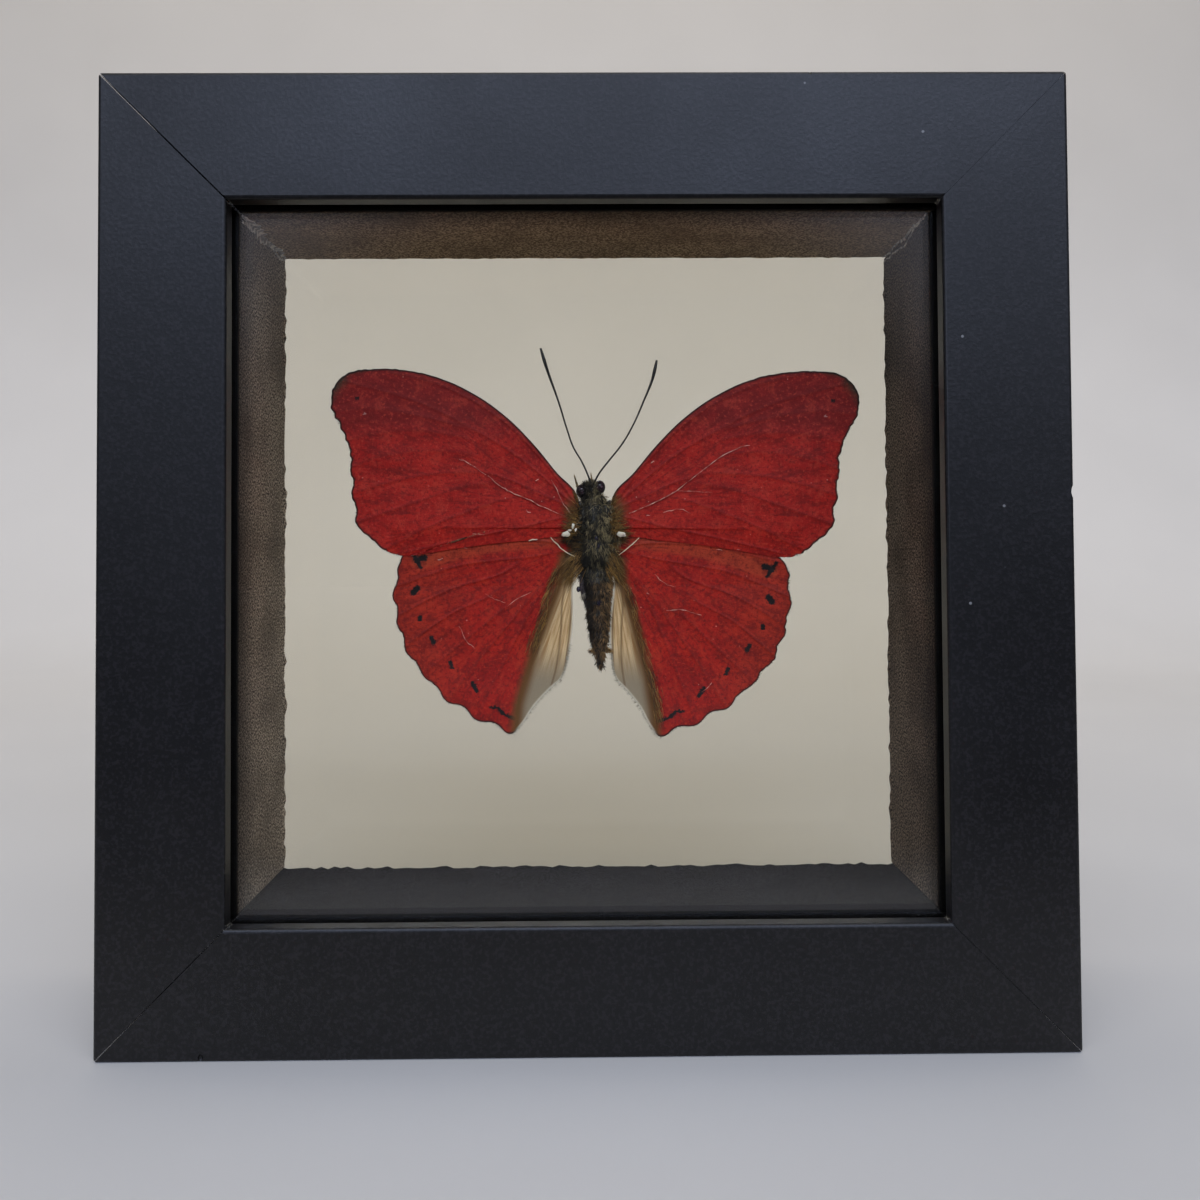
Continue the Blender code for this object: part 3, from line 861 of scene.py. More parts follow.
def distance_to_lines(points, lines):
    """Smallest distance in mm from each point to any of the polylines."""
    best = np.full(len(points), 1e9)
    for line in lines:
        line = np.array(line, dtype=float)
        for start, end in zip(line, line[1:]):
            way = end - start
            share = np.clip(((points - start) @ way) / max(way @ way, 1e-9), 0.0, 1.0)
            gap = np.linalg.norm(points - start - share[:, None] * way, axis=1)
            best = np.minimum(best, gap)
    return best


def smoothed(line, steps=8):
    """A polyline made rounder, by a curve through its points."""
    knots = [Vector((*point, 0.0)) for point in line]
    ends = [knots[0] * 2 - knots[1]] + knots + [knots[-1] * 2 - knots[-2]]
    rounded = []
    for a, b, c, d in zip(ends, ends[1:], ends[2:], ends[3:]):
        for step in range(steps):
            t = step / steps
            point = (b * 2 + (c - a) * t + (a * 2 - b * 5 + c * 4 - d) * t ** 2
                     + (b * 3 - a - c * 3 + d) * t ** 3) / 2
            rounded.append((point.x, point.y))
    rounded.append(tuple(line[-1]))
    return rounded


def add_value(mesh, name, values):
    mesh.attributes.new(name, "FLOAT", "POINT").data.foreach_set("value", values)


def wing_shape(points, vein, fold, span):
    """Height of the wing's face above its plane in mm: raised veins, cells that sag between
    them, a slow warp, and the inner fold bent back beside the abdomen."""
    height = 0.07 * np.exp(-(vein / 0.18) ** 2) - 0.05 * (1.0 - np.exp(-(vein / 1.3) ** 2))
    height += 0.5 * (points[:, 0] / span) ** 2
    height -= 0.09 * np.clip(fold, 0.0, 8.0)
    return height


def build_wing(node, outline, hub, veins, turn, front, under):
    """One wing blade, in its own node's box. Returns how to place a point of the wing."""
    side = -1 if node.endswith("left") else 1
    wing = outline_loop(node + "_blade", outline, side)

    def fray(spot):
        """Small bites and tatters along the outer margin."""
        outer = min(1.0, max(0.0, (spot.x * side / MM - 16.0) / 8.0))
        return Vector((0.22 * outer * wobble(spot, 0.75, 1.0) * MM,
                       0.14 * outer * wobble(spot, 0.75, 5.0) * MM, 0.0))

    move_points(wing, fray)
    loop = np.array([(v.co.x * side, v.co.y) for v in wing.data.vertices]) / MM
    order = [edge.vertices[:] for edge in wing.data.edges]
    fill_with_rings(wing, hub, side)
    mesh = wing.data
    points = np.array([(v.co.x * side, v.co.y) for v in mesh.vertices]) / MM
    rim = [(loop[a], loop[b]) for a, b in order]
    vein = distance_to_lines(points, [smoothed(line) for line in veins])
    margin = distance_to_lines(points, rim)
    hidden = (points[:, 1] < -2.4) & (points[:, 0] < 27.0)
    fold = np.full(len(points), -10.0)
    if node in FOLD_LINES:
        hidden = (points[:, 1] > -0.8) & (points[:, 0] < 23.0)
        edge = np.array(FOLD_LINES[node])[::-1]
        fold = np.interp(points[:, 1], edge[:, 1], edge[:, 0]) - points[:, 0]
        fold = np.where(points[:, 1] > edge[-1, 1], fold - 1.2, fold)
    add_value(mesh, "vein", vein)
    add_value(mesh, "margin", np.where(hidden, 9.0, margin))   # no dark edge where they lap
    add_value(mesh, "fold", fold)
    chart = mesh.uv_layers.new(name=WING_MAP)
    for corner in mesh.loops:
        across, up = points[corner.vertex_index]
        chart.data[corner.index].uv = ((across + MAP_ORIGIN[0]) / MAP_SIZE,
                                       (up + MAP_ORIGIN[1]) / MAP_SIZE)
    height = wing_shape(points, vein, fold, outline[7][0])
    if node.startswith("forewing"):         # its hind edge lies down on the hindwing
        height = height - np.where(hidden, 0.45 * np.clip(1.0 - margin / 3.5, 0.0, 1.0), 0.0)

    # Stand the blade up, turn it on its root and set it in the node's box
    stand = Euler((math.pi / 2, -side * math.radians(turn), 0.0)).to_matrix()
    flat = [stand @ Vector((side * across * MM, up * MM, 0.0)) for across, up in loop]
    corner_low = Vector([min(p[axis] for p in flat) for axis in range(3)])
    corner_high = Vector([max(p[axis] for p in flat) for axis in range(3)])
    box_low, box_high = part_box(node)
    shift = (box_low + box_high) / 2 - (corner_low + corner_high) / 2
    slant = SLANT.get(node, 0.0)

    def place(across, up, above=0.0):
        """Where a point in mm of the wing's own plane is, and so many mm above it."""
        across = across - slant * max(0.0, -up)
        return stand @ Vector((side * across * MM, up * MM, above * MM)) + shift

    for vertex, (across, up), above in zip(mesh.vertices, points, height):
        spot = place(across, up)
        spot.y -= (above + 0.22 * wobble(spot, 11.0, 2.0) + 0.07 * wobble(spot, 3.2, 6.0)) * MM
        vertex.co = spot
    make_active(wing)
    wing.data.materials.clear()
    wing.data.materials.append(front)
    wing.data.materials.append(under)
    if sum(polygon.normal.y for polygon in mesh.polygons) > 0:     # it faces the back pane
        edit(wing)
        bpy.ops.mesh.select_all(action="SELECT")
        bpy.ops.mesh.flip_normals()
        leave_edit()
    apply_modifier(wing, "SOLIDIFY", thickness=BLADE, offset=-1.0, material_offset=1,
                   material_offset_rim=0)
    smooth(wing)
    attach(wing, BODY)
    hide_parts(node)
    return place


# ---------------------------------------------------------------- strands

HAIR_POINTS = 10                 # three rings of three points and a tip
SCALE_RADIUS = 0.035 * MM        # of a scale in a fringe


def strands(name, slot, material, seeds, seed):
    """Tapered three-sided hairs joined in one mesh. Each is its root, its way with its
    length, its droop and its radius, all in metres, and how light it is, 0 to 1."""
    random = np.random.default_rng(seed)
    roots = np.array([one[0] for one in seeds])
    ways = np.array([one[1] for one in seeds])
    droops = np.array([one[2] for one in seeds])
    radii = np.array([one[3] for one in seeds])
    count = len(seeds)
    helper = np.where(np.abs(ways[:, 1:2]) > 0.8 * np.linalg.norm(ways, axis=1)[:, None],
                      np.array([[1.0, 0.0, 0.0]]), np.array([[0.0, 1.0, 0.0]]))
    first = np.cross(ways, helper)
    first /= np.linalg.norm(first, axis=1)[:, None]
    second = np.cross(ways, first)
    second /= np.linalg.norm(second, axis=1)[:, None]
    rings = []
    for share, thick in ((0.0, 1.0), (0.4, 0.85), (0.75, 0.55)):
        middle = roots + ways * share + droops * share ** 2
        for turn in range(3):
            angle = turn * 2 * math.pi / 3
            rings.append(middle + radii[:, None] * thick * (
                math.cos(angle) * first + math.sin(angle) * second))
    rings.append(roots + ways + droops)
    points = np.stack(rings, axis=1).reshape(-1, 3)
    pattern = [(0, 2, 1)]
    for ring in (0, 3):
        for side in range(3):
            after = (side + 1) % 3
            pattern.append((ring + side, ring + after, ring + 3 + after, ring + 3 + side))
    pattern += [(6 + side, 6 + (side + 1) % 3, 9) for side in range(3)]
    faces = [tuple(HAIR_POINTS * index + corner for corner in face)
             for index in range(count) for face in pattern]
    mesh = bpy.data.meshes.new(name)
    mesh.from_pydata(points.tolist(), [], faces)
    tones = np.array([one[4] for one in seeds])
    shade = np.repeat(tones * random.random(count) ** 1.3, HAIR_POINTS)
    add_value(mesh, "shade", shade)
    item = bpy.data.objects.new(name, mesh)
    bpy.context.collection.objects.link(item)
    smooth(item)
    return finish_piece(item, slot, material)


def fringe(name, slot, material, place, line, per_mm, length, seed, lift=0.0):
    """Scales that stand out beyond a wing's margin, along part of its outline."""
    random = np.random.default_rng(seed)
    rounded = np.array(smoothed(line))
    seeds = []
    for start, end in zip(rounded, rounded[1:]):
        way = end - start
        run = np.linalg.norm(way)
        outward = np.array((way[1], -way[0])) / max(run, 1e-6)
        for _ in range(max(1, int(round(run * per_mm)))):
            spot = start + way * random.random()
            tip = -outward * length * random.uniform(0.5, 1.1) + way / run * random.normal(
                0, 0.12)
            root = place(spot[0] + outward[0] * 0.15, spot[1] + outward[1] * 0.15, lift)
            end_point = place(spot[0] + tip[0], spot[1] + tip[1], lift)
            seeds.append((root, end_point - root, Vector((0, 0, 0)), SCALE_RADIUS, 1.0))
    return strands(name, slot, material, seeds, seed)


# ---------------------------------------------------------------- body

# Lumps of the body in mm from the middle of the thorax: place and radii
BODY_LUMPS = (
    ((-0.60, -0.10, 6.05), (1.50, 1.25, 1.10)), ((-0.25, -0.20, 4.70), (1.75, 1.35, 1.05)),
    ((0.05, -0.10, 1.70), (2.10, 2.00, 3.50)), ((0.00, -0.75, 0.40), (1.35, 1.35, 2.90)),
    ((-0.15, -0.05, -2.70), (2.35, 1.85, 2.90)), ((0.00, -0.95, -3.20), (1.05, 0.90, 1.20)),
    ((-1.65, -0.85, 2.40), (0.80, 0.70, 1.60)), ((1.65, -0.85, 2.40), (0.80, 0.70, 1.60)),
    ((-0.20, 0.15, -6.10), (2.25, 1.40, 1.40)),
    ((-3.10, -0.55, -0.50), (1.50, 0.32, 1.15)), ((2.90, -0.55, -0.50), (1.40, 0.32, 1.10)),
    ((-2.60, -0.45, -3.60), (0.80, 0.35, 2.20)), ((2.20, -0.45, -3.60), (0.70, 0.35, 2.10)),
    ((-2.20, -0.90, 3.10), (0.70, 0.35, 1.50)), ((2.10, -0.90, 3.10), (0.70, 0.35, 1.50)),
)
ABDOMEN_TOP = -7.2
ABDOMEN_END = -18.1
ABDOMEN_SEGMENTS = 8
BODY_LEAN = math.radians(-1.4)


def body_point(across, depth, up):
    """A place on the body in metres, from mm in the body's own directions."""
    return HEART + Matrix.Rotation(BODY_LEAN, 3, "Y") @ (Vector((across, depth, up)) * MM)


def ball(place, radii, segments=24):
    deselect_all()
    bpy.ops.mesh.primitive_uv_sphere_add(segments=segments, ring_count=segments * 2 // 3,
                                         radius=1.0)
    item = bpy.context.object
    item.scale = [radius * MM for radius in radii]
    item.rotation_euler = (0.0, BODY_LEAN, 0.0)
    item.location = body_point(*place)
    bpy.ops.object.transform_apply(location=True, rotation=True, scale=True)
    return item


def fuse(name, items, voxel_mm):
    """Join lumps into one skin."""
    deselect_all()
    for item in items:
        item.select_set(True)
    bpy.context.view_layer.objects.active = items[0]
    bpy.ops.object.join()
    whole = bpy.context.object
    whole.name = name
    apply_modifier(whole, "REMESH", mode="VOXEL", voxel_size=voxel_mm * MM)
    apply_modifier(whole, "SMOOTH", factor=0.6, iterations=5)
    smooth(whole)
    return whole


def build_body(skin):
    lumps = [ball(place, radii) for place, radii in BODY_LUMPS]
    for index in range(ABDOMEN_SEGMENTS):
        share = index / (ABDOMEN_SEGMENTS - 1)
        width = 1.64 * (1.0 - 0.72 * share ** 2.6) + 0.10 * math.sin(math.pi * share)
        width += 0.45 * max(0.0, 1.0 - 3.2 * share)
        up = ABDOMEN_TOP + (ABDOMEN_END - ABDOMEN_TOP) * share
        lumps.append(ball((0.05, 0.15 + 0.25 * share, up), (width, width * 0.95, 1.3)))
    lumps.append(ball((0.12, 0.4, -18.45), (0.42, 0.38, 1.15)))
    body = fuse("body_skin", lumps, 0.12)
    move_points(body, lambda place: Vector((0.04 * wobble(place, 0.9) * MM,
                                            0.06 * wobble(place, 0.7, 4.0) * MM, 0.0)))
    finish_piece(body, "body_fur", skin, replaces=("body",))
    return body


def shell_piece(name, place, radii, segments, material):
    """A smooth round piece of bare shell."""
    piece = ball(place, radii, segments)
    piece.name = name
    smooth(piece)
    finish_piece(piece, "antenna_horn", material)


def build_head_parts(eye_horn, palp_fur):
    """Bulging eyes and the two slim palps that stand up beside them."""
    for name, place in (("eye_left", (-1.90, -0.45, 5.95)), ("eye_right", (0.78, -0.40, 6.45))):
        shell_piece(name, place, (0.78, 0.86, 0.98), 32, eye_horn)
    palps = []
    for start, end in (((-2.35, -0.1, 6.3), (-2.85, -0.1, 8.2)),
                       ((-0.30, -0.3, 6.8), (-0.45, -0.3, 8.4))):
        for step in range(9):
            share = step / 8
            spot = Vector(start).lerp(Vector(end), share)
            width = 0.24 * (1.0 - 0.6 * share)
            palps.append(ball(spot, (width, width, 0.3), 12))
    palp = fuse("palps", palps, 0.07)
    finish_piece(palp, "body_fur", palp_fur)


# Bare glossy patches that show through the hair, in mm: place and radii
BARE_PATCHES = (
    ((0.10, -2.05, -0.90), (0.32, 0.25, 0.38)), ((0.25, -1.95, -2.00), (0.26, 0.25, 0.42)),
    ((0.05, -1.45, -10.10), (0.36, 0.30, 0.46)), ((-2.75, -0.60, -8.10), (0.30, 0.30, 0.42)),
)


def build_bare_patches(gloss):
    for index, (place, radii) in enumerate(BARE_PATCHES):
        shell_piece(f"bare_patch_{index + 1}", place, radii, 20, gloss)


def tube(name, route, radii, resolution=3):
    """A round tube through points in metres with a radius in mm at each."""
    curve = bpy.data.curves.new(name, "CURVE")
    curve.dimensions = "3D"
    curve.bevel_depth = MM
    curve.bevel_resolution = resolution
    curve.resolution_u = 10
    curve.use_fill_caps = True
    item = curve_mesh(curve, list(zip(route, radii)))
    make_normals_out(item)
    smooth(item, 60.0)
    return item


# Antennae in mm from the middle of the thorax: across and up, from the crown to the club
ANTENNAE = {
    "antenna_left": ((-0.55, 6.6), (-1.1, 8.2), (-1.9, 10.0), (-3.2, 12.3), (-4.0, 14.6),
                     (-5.3, 18.9), (-6.7, 22.9), (-7.3, 24.8), (-7.8, 26.5)),
    "antenna_right": ((-0.45, 6.6), (0.5, 8.4), (1.8, 10.1), (3.8, 12.6), (5.5, 15.5),
                      (7.1, 19.1), (8.2, 21.8), (8.6, 23.3), (8.9, 24.7)),
}
ANTENNA_RADII = (0.15, 0.135, 0.13, 0.125, 0.125, 0.14, 0.20, 0.26, 0.16)
# Folded legs under the thorax: root, knee, ankle and foot in mm
LEGS = (
    ((1.0, 1.6, 3.6), (2.3, 2.0, 1.4), (0.9, 2.5, -1.4), (0.4, 2.6, -4.4)),
    ((1.2, 1.5, 0.6), (2.5, 2.0, -2.0), (1.1, 2.4, -4.6), (0.7, 2.4, -7.6)),
    ((1.1, 1.4, -2.0), (2.2, 1.8, -5.0), (1.4, 2.1, -8.0), (0.6, 2.2, -10.6)),
)


def build_antennae(material):
    for node, route in ANTENNAE.items():
        box_low, box_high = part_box(node)
        depth = (box_low.y + box_high.y) / 2
        places = [Vector((HEART.x + across * MM, depth, HEART.z + up * MM))
                  for across, up in route]
        antenna = tube(node + "_shaft", places, ANTENNA_RADII)
        finish_piece(antenna, "antenna_horn", material, replaces=(node,))


def build_legs(material):
    for side, word in ((-1, "left"), (1, "right")):
        for index, leg in enumerate(LEGS):
            places = [body_point(side * across, depth, up) for across, depth, up in leg]
            limb = tube(f"leg_{index + 1}_{word}", places, (0.24, 0.17, 0.12, 0.06), 2)
            finish_piece(limb, "antenna_horn", material)
    # One hind leg has worked out beside the abdomen
    places = [body_point(*spot) for spot in ((-1.9, -0.2, -5.6), (-2.2, -0.4, -7.4),
                                             (-2.0, -0.3, -9.2), (-1.5, 0.0, -11.0))]
    limb = tube("leg_hind_out", places, (0.50, 0.42, 0.34, 0.12), 3)
    finish_piece(limb, "antenna_horn", material)


def fur_on(body, name, material, count, seed, test, comb, length, radius, tone):
    """Hairs over the part of the body that the test keeps. The comb gives the way they lie
    at a place in mm, and the tone how light they are there."""
    random = np.random.default_rng(seed)
    polygons = [p for p in body.data.polygons if test((p.center - HEART) / MM)]
    areas = np.array([p.area for p in polygons])
    chosen = random.choice(len(polygons), size=count, p=areas / areas.sum())
    seeds = []
    for index in chosen:
        polygon = polygons[index]
        spot = (polygon.center - HEART) / MM
        laid = Vector(comb(spot))
        wild = Vector(random.normal(0.0, 0.40, 3))
        way = (polygon.normal * 0.75 + laid + wild).normalized()
        reach = random.uniform(length[0], length[1]) * MM
        root = polygon.center - polygon.normal * 0.05 * MM
        seeds.append((root, way * reach, laid * reach * 0.35,
                      radius * random.uniform(0.7, 1.3) * MM, tone(spot)))
    return strands(name, "body_fur", material, seeds, seed)


def downwards(_):
    return (0.0, 0.0, -0.85)


def upwards(_):
    return (0.0, -0.1, 0.35)


def sideways(spot):
    """Out from the body over the wing roots, fanned up or down with the height."""
    side = 1.0 if spot.x > 0 else -1.0
    return (side * 1.1, 0.0, 0.22 * (spot.z + 1.0))


def mottled(spot):
    """Hair in light and dark locks about half a millimetre wide."""
    lock = noise.noise(spot * 1.7) + 0.8 * noise.noise(spot * 4.0)
    return min(1.0, max(0.06, 0.42 + 1.3 * lock))


def banded(spot):
    """Lighter along the rear edge of each ring of the abdomen."""
    ring = (ABDOMEN_TOP - spot.z) / (ABDOMEN_TOP - ABDOMEN_END) * (ABDOMEN_SEGMENTS - 1)
    return (0.6 + 0.4 * (0.5 - 0.5 * math.cos(2 * math.pi * ring))) * (
        0.5 + 0.5 * mottled(spot))


def tuft(name, material, place, line, spread, heading, fan, length, count, seed,
         lift=(0.15, 0.5)):
    """Long hairs that lie over a wing, rooted about a line, in the wing's own directions:
    heading and fan in degrees, lengths in mm."""
    random = np.random.default_rng(seed)
    seeds = []
    for _ in range(count):
        start = Vector(line[0]).lerp(Vector(line[1]), random.random())
        start = (start[0] + random.normal(0, spread), start[1] + random.normal(0, spread))
        angle = math.radians(heading + random.normal(0, fan))
        reach = random.uniform(*length)
        end = (start[0] + reach * math.cos(angle), start[1] + reach * math.sin(angle))
        root = place(start[0], start[1], random.uniform(*lift))
        tip = place(end[0], end[1], random.uniform(*lift))
        arch = Vector((0.0, -random.uniform(0.0, 0.25) * MM, random.normal(0, 0.15) * MM))
        seeds.append((root, tip - root - arch, arch, random.uniform(0.025, 0.045) * MM, 1.0))
    return strands(name, "body_fur", material, seeds, seed)


def sprig(name, material, spot, way, count, length, radius, seed, tone=1.0):
    """A small clump of hair at one place of the body."""
    random = np.random.default_rng(seed)
    seeds = []
    for _ in range(count):
        root = body_point(*spot) + Vector(random.normal(0, 0.16, 3)) * MM
        heading = (Vector(way) + Vector(random.normal(0, 0.28, 3))).normalized()
        reach = random.uniform(*length) * MM
        seeds.append((root, heading * reach, Vector((0, 0, -0.1)) * reach,
                      random.uniform(0.7, 1.2) * radius * MM, tone))
    return strands(name, "body_fur", material, seeds, seed)


# Where scales have rubbed off the veins: wing, thread's radius in mm, and its way in mm
# from the middle of the thorax, across and up
RUBBED_VEINS = (
    ("forewing_left", 0.055, ((-19.4, 10.5), (-18.6, 10.2), (-17.2, 9.3), (-15.6, 8.2))),
    ("forewing_left", 0.065, ((-15.4, 8.1), (-13.6, 6.6), (-12.2, 5.8), (-9.9, 4.8),
                              (-7.5, 3.6), (-4.8, 2.4))),
    ("forewing_left", 0.05, ((-6.3, 7.5), (-5.5, 6.0), (-4.8, 4.4), (-3.5, 2.5))),
    ("forewing_left", 0.055, ((-9.9, 3.3), (-9.7, 3.0), (-9.3, 2.8))),
    ("forewing_left", 0.05, ((-8.6, 7.3), (-8.3, 7.5), (-8.1, 7.6))),
    ("forewing_left", 0.04, ((-17.6, -0.2), (-16.8, -0.3), (-15.9, -0.3))),
    ("forewing_right", 0.06, ((22.1, 12.3), (20.8, 12.0), (18.0, 10.7), (15.0, 8.5),
                              (13.2, 7.1))),
    ("forewing_right", 0.07, ((13.0, 7.0), (11.5, 5.8), (9.5, 4.7), (7.6, 3.8), (4.7, 2.6))),
    ("forewing_right", 0.03, ((11.8, 5.8), (14.0, 5.7), (16.7, 5.5))),
    ("forewing_right", 0.045, ((9.6, 2.75), (10.8, 3.0), (12.0, 3.2), (13.6, 2.6))),
    ("forewing_right", 0.05, ((7.2, 2.3), (7.4, 2.35), (7.7, 2.3))),
    ("forewing_right", 0.045, ((7.9, 9.8), (8.2, 10.0), (8.5, 10.1))),
    ("hindwing_left", 0.11, ((-9.6, -1.2), (-9.0, -1.0), (-8.4, -1.0))),
    ("hindwing_left", 0.08, ((-19.4, -2.2), (-18.9, -2.15), (-18.4, -2.3))),
    ("hindwing_left", 0.07, ((-22.6, -3.8), (-22.3, -3.8), (-21.9, -3.6))),
    ("hindwing_left", 0.09, ((-6.5, -0.8), (-5.5, -1.75), (-4.4, -2.75), (-3.1, -3.5))),
    ("hindwing_left", 0.035, ((-12.8, -10.6), (-11.2, -9.4), (-9.4, -8.6))),
    ("hindwing_left", 0.035, ((-19.6, -13.3), (-18.5, -15.5), (-17.3, -16.5))),
    ("hindwing_left", 0.03, ((-15.8, -8.7), (-14.5, -9.5), (-13.0, -10.0))),
    ("hindwing_right", 0.09, ((6.1, -0.9), (5.2, -1.75), (4.3, -2.5), (3.3, -3.25))),
    ("hindwing_right", 0.06, ((17.2, -2.6), (17.6, -2.65), (18.0, -2.75))),
    ("hindwing_right", 0.06, ((20.2, -2.6), (20.4, -2.6), (20.7, -2.65))),
    ("hindwing_right", 0.05, ((10.0, -11.3), (11.9, -11.15), (13.4, -11.5), (15.0, -12.0))),
    ("hindwing_right", 0.035, ((16.4, -21.6), (15.7, -22.4), (15.0, -22.9))),
    ("hindwing_right", 0.05, ((7.2, -8.7), (7.4, -8.8), (7.6, -8.95))),
    ("hindwing_right", 0.03, ((8.4, -6.1), (9.8, -7.4), (11.4, -7.9))),
)
# Each wing's root in mm from the middle of the thorax
WING_ROOTS = {"forewing_left": (-2.5, 3.0), "forewing_right": (2.3, 3.0),
              "hindwing_left": (-2.3, -2.0), "hindwing_right": (2.1, -2.0)}


HAIRY_REACH = 3.4                # mm from the middle of the thorax that hair covers
ABOVE_HAIR = 0.85                # mm that a vein which ends there stands above its wing
ABOVE_WING = 0.30                # and any other vein


def rubbed_vein(name, place, node, line, width, material):
    """A vein whose scales have rubbed off: a pale flattened thread on the wing's face. The
    two at the root stand up out of the hair."""
    side = -1 if node.endswith("left") else 1
    root = WING_ROOTS[node]
    above = ABOVE_HAIR if abs(line[-1][0]) < HAIRY_REACH else ABOVE_WING
    places = []
    for across, up in smoothed(line, 4):
        ragged = 0.10 * noise.noise(Vector((across * 1.7, up * 1.7, 3.0)))
        spot = HEART + Vector((across + ragged, 0.0, up + ragged)) * MM
        local = place(side * (across - root[0]), up - root[1], above)
        places.append(Vector((spot.x, local.y, spot.z)))
    last = len(places) - 1
    radii = [width * (0.35 + 0.65 * math.sin(math.pi * (0.12 + 0.80 * step / last)))
             * (1.0 + 0.35 * noise.noise(Vector((step * 0.9, above, width * 90.0))))
             for step in range(last + 1)]
    thread = tube(name, places, radii, 1)
    finish_piece(thread, "body_fur", material)


# Ivory plates and flakes at the wing joints, in mm: name, place and radii
JOINT_PLATES = (
    ("joint_plate_left", (-4.25, -2.20, -0.30), (0.62, 0.28, 0.38)),
    ("joint_plate_right", (3.55, -2.20, -0.35), (0.58, 0.28, 0.36)),
    ("joint_plate_right_tip", (3.95, -1.95, -0.55), (0.28, 0.20, 0.20)),
    ("flake_left", (-3.25, -1.75, 0.85), (0.18, 0.15, 0.40)),
    ("flake_left_low", (-3.75, -1.85, 0.25), (0.22, 0.12, 0.16)),
    ("flake_left_inner", (-2.85, -1.85, 0.30), (0.14, 0.12, 0.26)),
)


def joint_plate(name, spot, radii, material):
    """A small ivory plate where a forewing hinges on the thorax."""
    plate = ball((0.0, 0.0, 0.0), radii, 24)
    plate.name = name
    seed = spot[0]
    move_points(plate, lambda at: Vector((0.16 * wobble(at, 0.5, seed) * MM,
                                          0.05 * wobble(at, 0.6) * MM,
                                          0.14 * wobble(at, 0.4, seed + 3.0) * MM)))
    move_points(plate, lambda at: Vector(spot) * MM)
    smooth(plate)
    finish_piece(plate, "body_fur", material)


def build_glue_dab(material):
    """The set drop of glue behind the thorax, spread flat on the pane."""
    deselect_all()
    bpy.ops.mesh.primitive_uv_sphere_add(segments=40, ring_count=20, radius=1.0)
    drop = bpy.context.object
    drop.name = "glue_drop"
    half = (dab_high - dab_low) / 2
    centre = (dab_low + dab_high) / 2
    for vertex in drop.data.vertices:
        swell = 1.0 + 0.14 * noise.noise(vertex.co * 1.3 + Vector((4.0, 0.0, 0.0)))
        flat = max(-1.0, min(1.0, vertex.co.y * 1.35))
        vertex.co = centre + Vector((vertex.co.x * half.x * swell, flat * half.y,
                                     vertex.co.z * half.z * swell))
    smooth(drop)
    finish_piece(drop, "glue", material, replaces=("glue_dab",))


# ---------------------------------------------------------------- the specimen

# How far each wing is turned on its root, in degrees
TURNS = {"forewing_left": 0.0, "forewing_right": -1.2, "hindwing_left": 0.0,
         "hindwing_right": -4.0}


def build_wings():
    """The four blades. Returns how to place a point of each."""
    crimson, scarlet, tan = forewing_scales(), hindwing_scales(), underside_scales()
    kinds = {"forewing": (FOREWING, FOREWING_HUB, FOREWING_VEINS, crimson),
             "hindwing": (HINDWING, HINDWING_HUB, HINDWING_VEINS, scarlet)}
    places = {}
    for node, turn in TURNS.items():
        kind = node.split("_")[0]
        outline, hub, veins, front = kinds[kind]
        places[node] = build_wing(node, outline, hub, veins, turn, front, tan)
    return places


def cover_body(body, olive, umber, golden, pale):
    """Hair of the body, combed and mottled, and the shell that shows where it has worn."""
    def thorax(p):
        return -6.8 < p.z < 5.4

    fur_on(body, "thorax_hair", olive, 3400, 21, thorax, downwards, (0.4, 0.9), 0.04, mottled)
    fur_on(body, "thorax_tufts", olive, 2300, 24, thorax, downwards, (0.5, 1.0), 0.065,
           mottled)
    fur_on(body, "side_hair", golden, 1000, 25,
           lambda p: abs(p.x) > 1.8 and -5.5 < p.z < 1.4 and p.y < 0.4, sideways,
           (0.6, 1.5), 0.045, mottled)
    fur_on(body, "abdomen_hair", umber, 2600, 22, lambda p: p.z <= -6.8, downwards,
           (0.3, 0.7), 0.04, banded)
    fur_on(body, "abdomen_tufts", umber, 1500, 26, lambda p: p.z <= -7.2, downwards,
           (0.4, 0.9), 0.07, mottled)
    fur_on(body, "head_hair", olive, 900, 23, lambda p: p.z >= 4.8 and abs(p.x + 0.6) < 1.25,
           upwards, (0.3, 0.75), 0.06, mottled)
    build_bare_patches(horn("violet_black_bare_shell", "#14101C", "#2A2438", 0.3, 0.12))
    sprig("pale_leg_hair", pale, (-2.0, -0.5, -8.8), (-0.3, -0.3, -1.0), 90, (0.5, 1.1),
          0.03, 91, 0.8)
    sprig("tail_tuft_left", golden, (-0.9, -0.2, -16.9), (-1.0, -0.2, -0.3), 60, (0.4, 0.9),
          0.04, 92)
    sprig("tail_tuft_right", golden, (1.1, -0.2, -16.9), (1.0, -0.2, -0.2), 50, (0.4, 0.9),
          0.04, 93)
    sprig("tail_tip_tuft", umber, (0.05, 0.3, -19.0), (0.0, 0.0, -1.0), 70, (0.3, 0.8),
          0.05, 94)


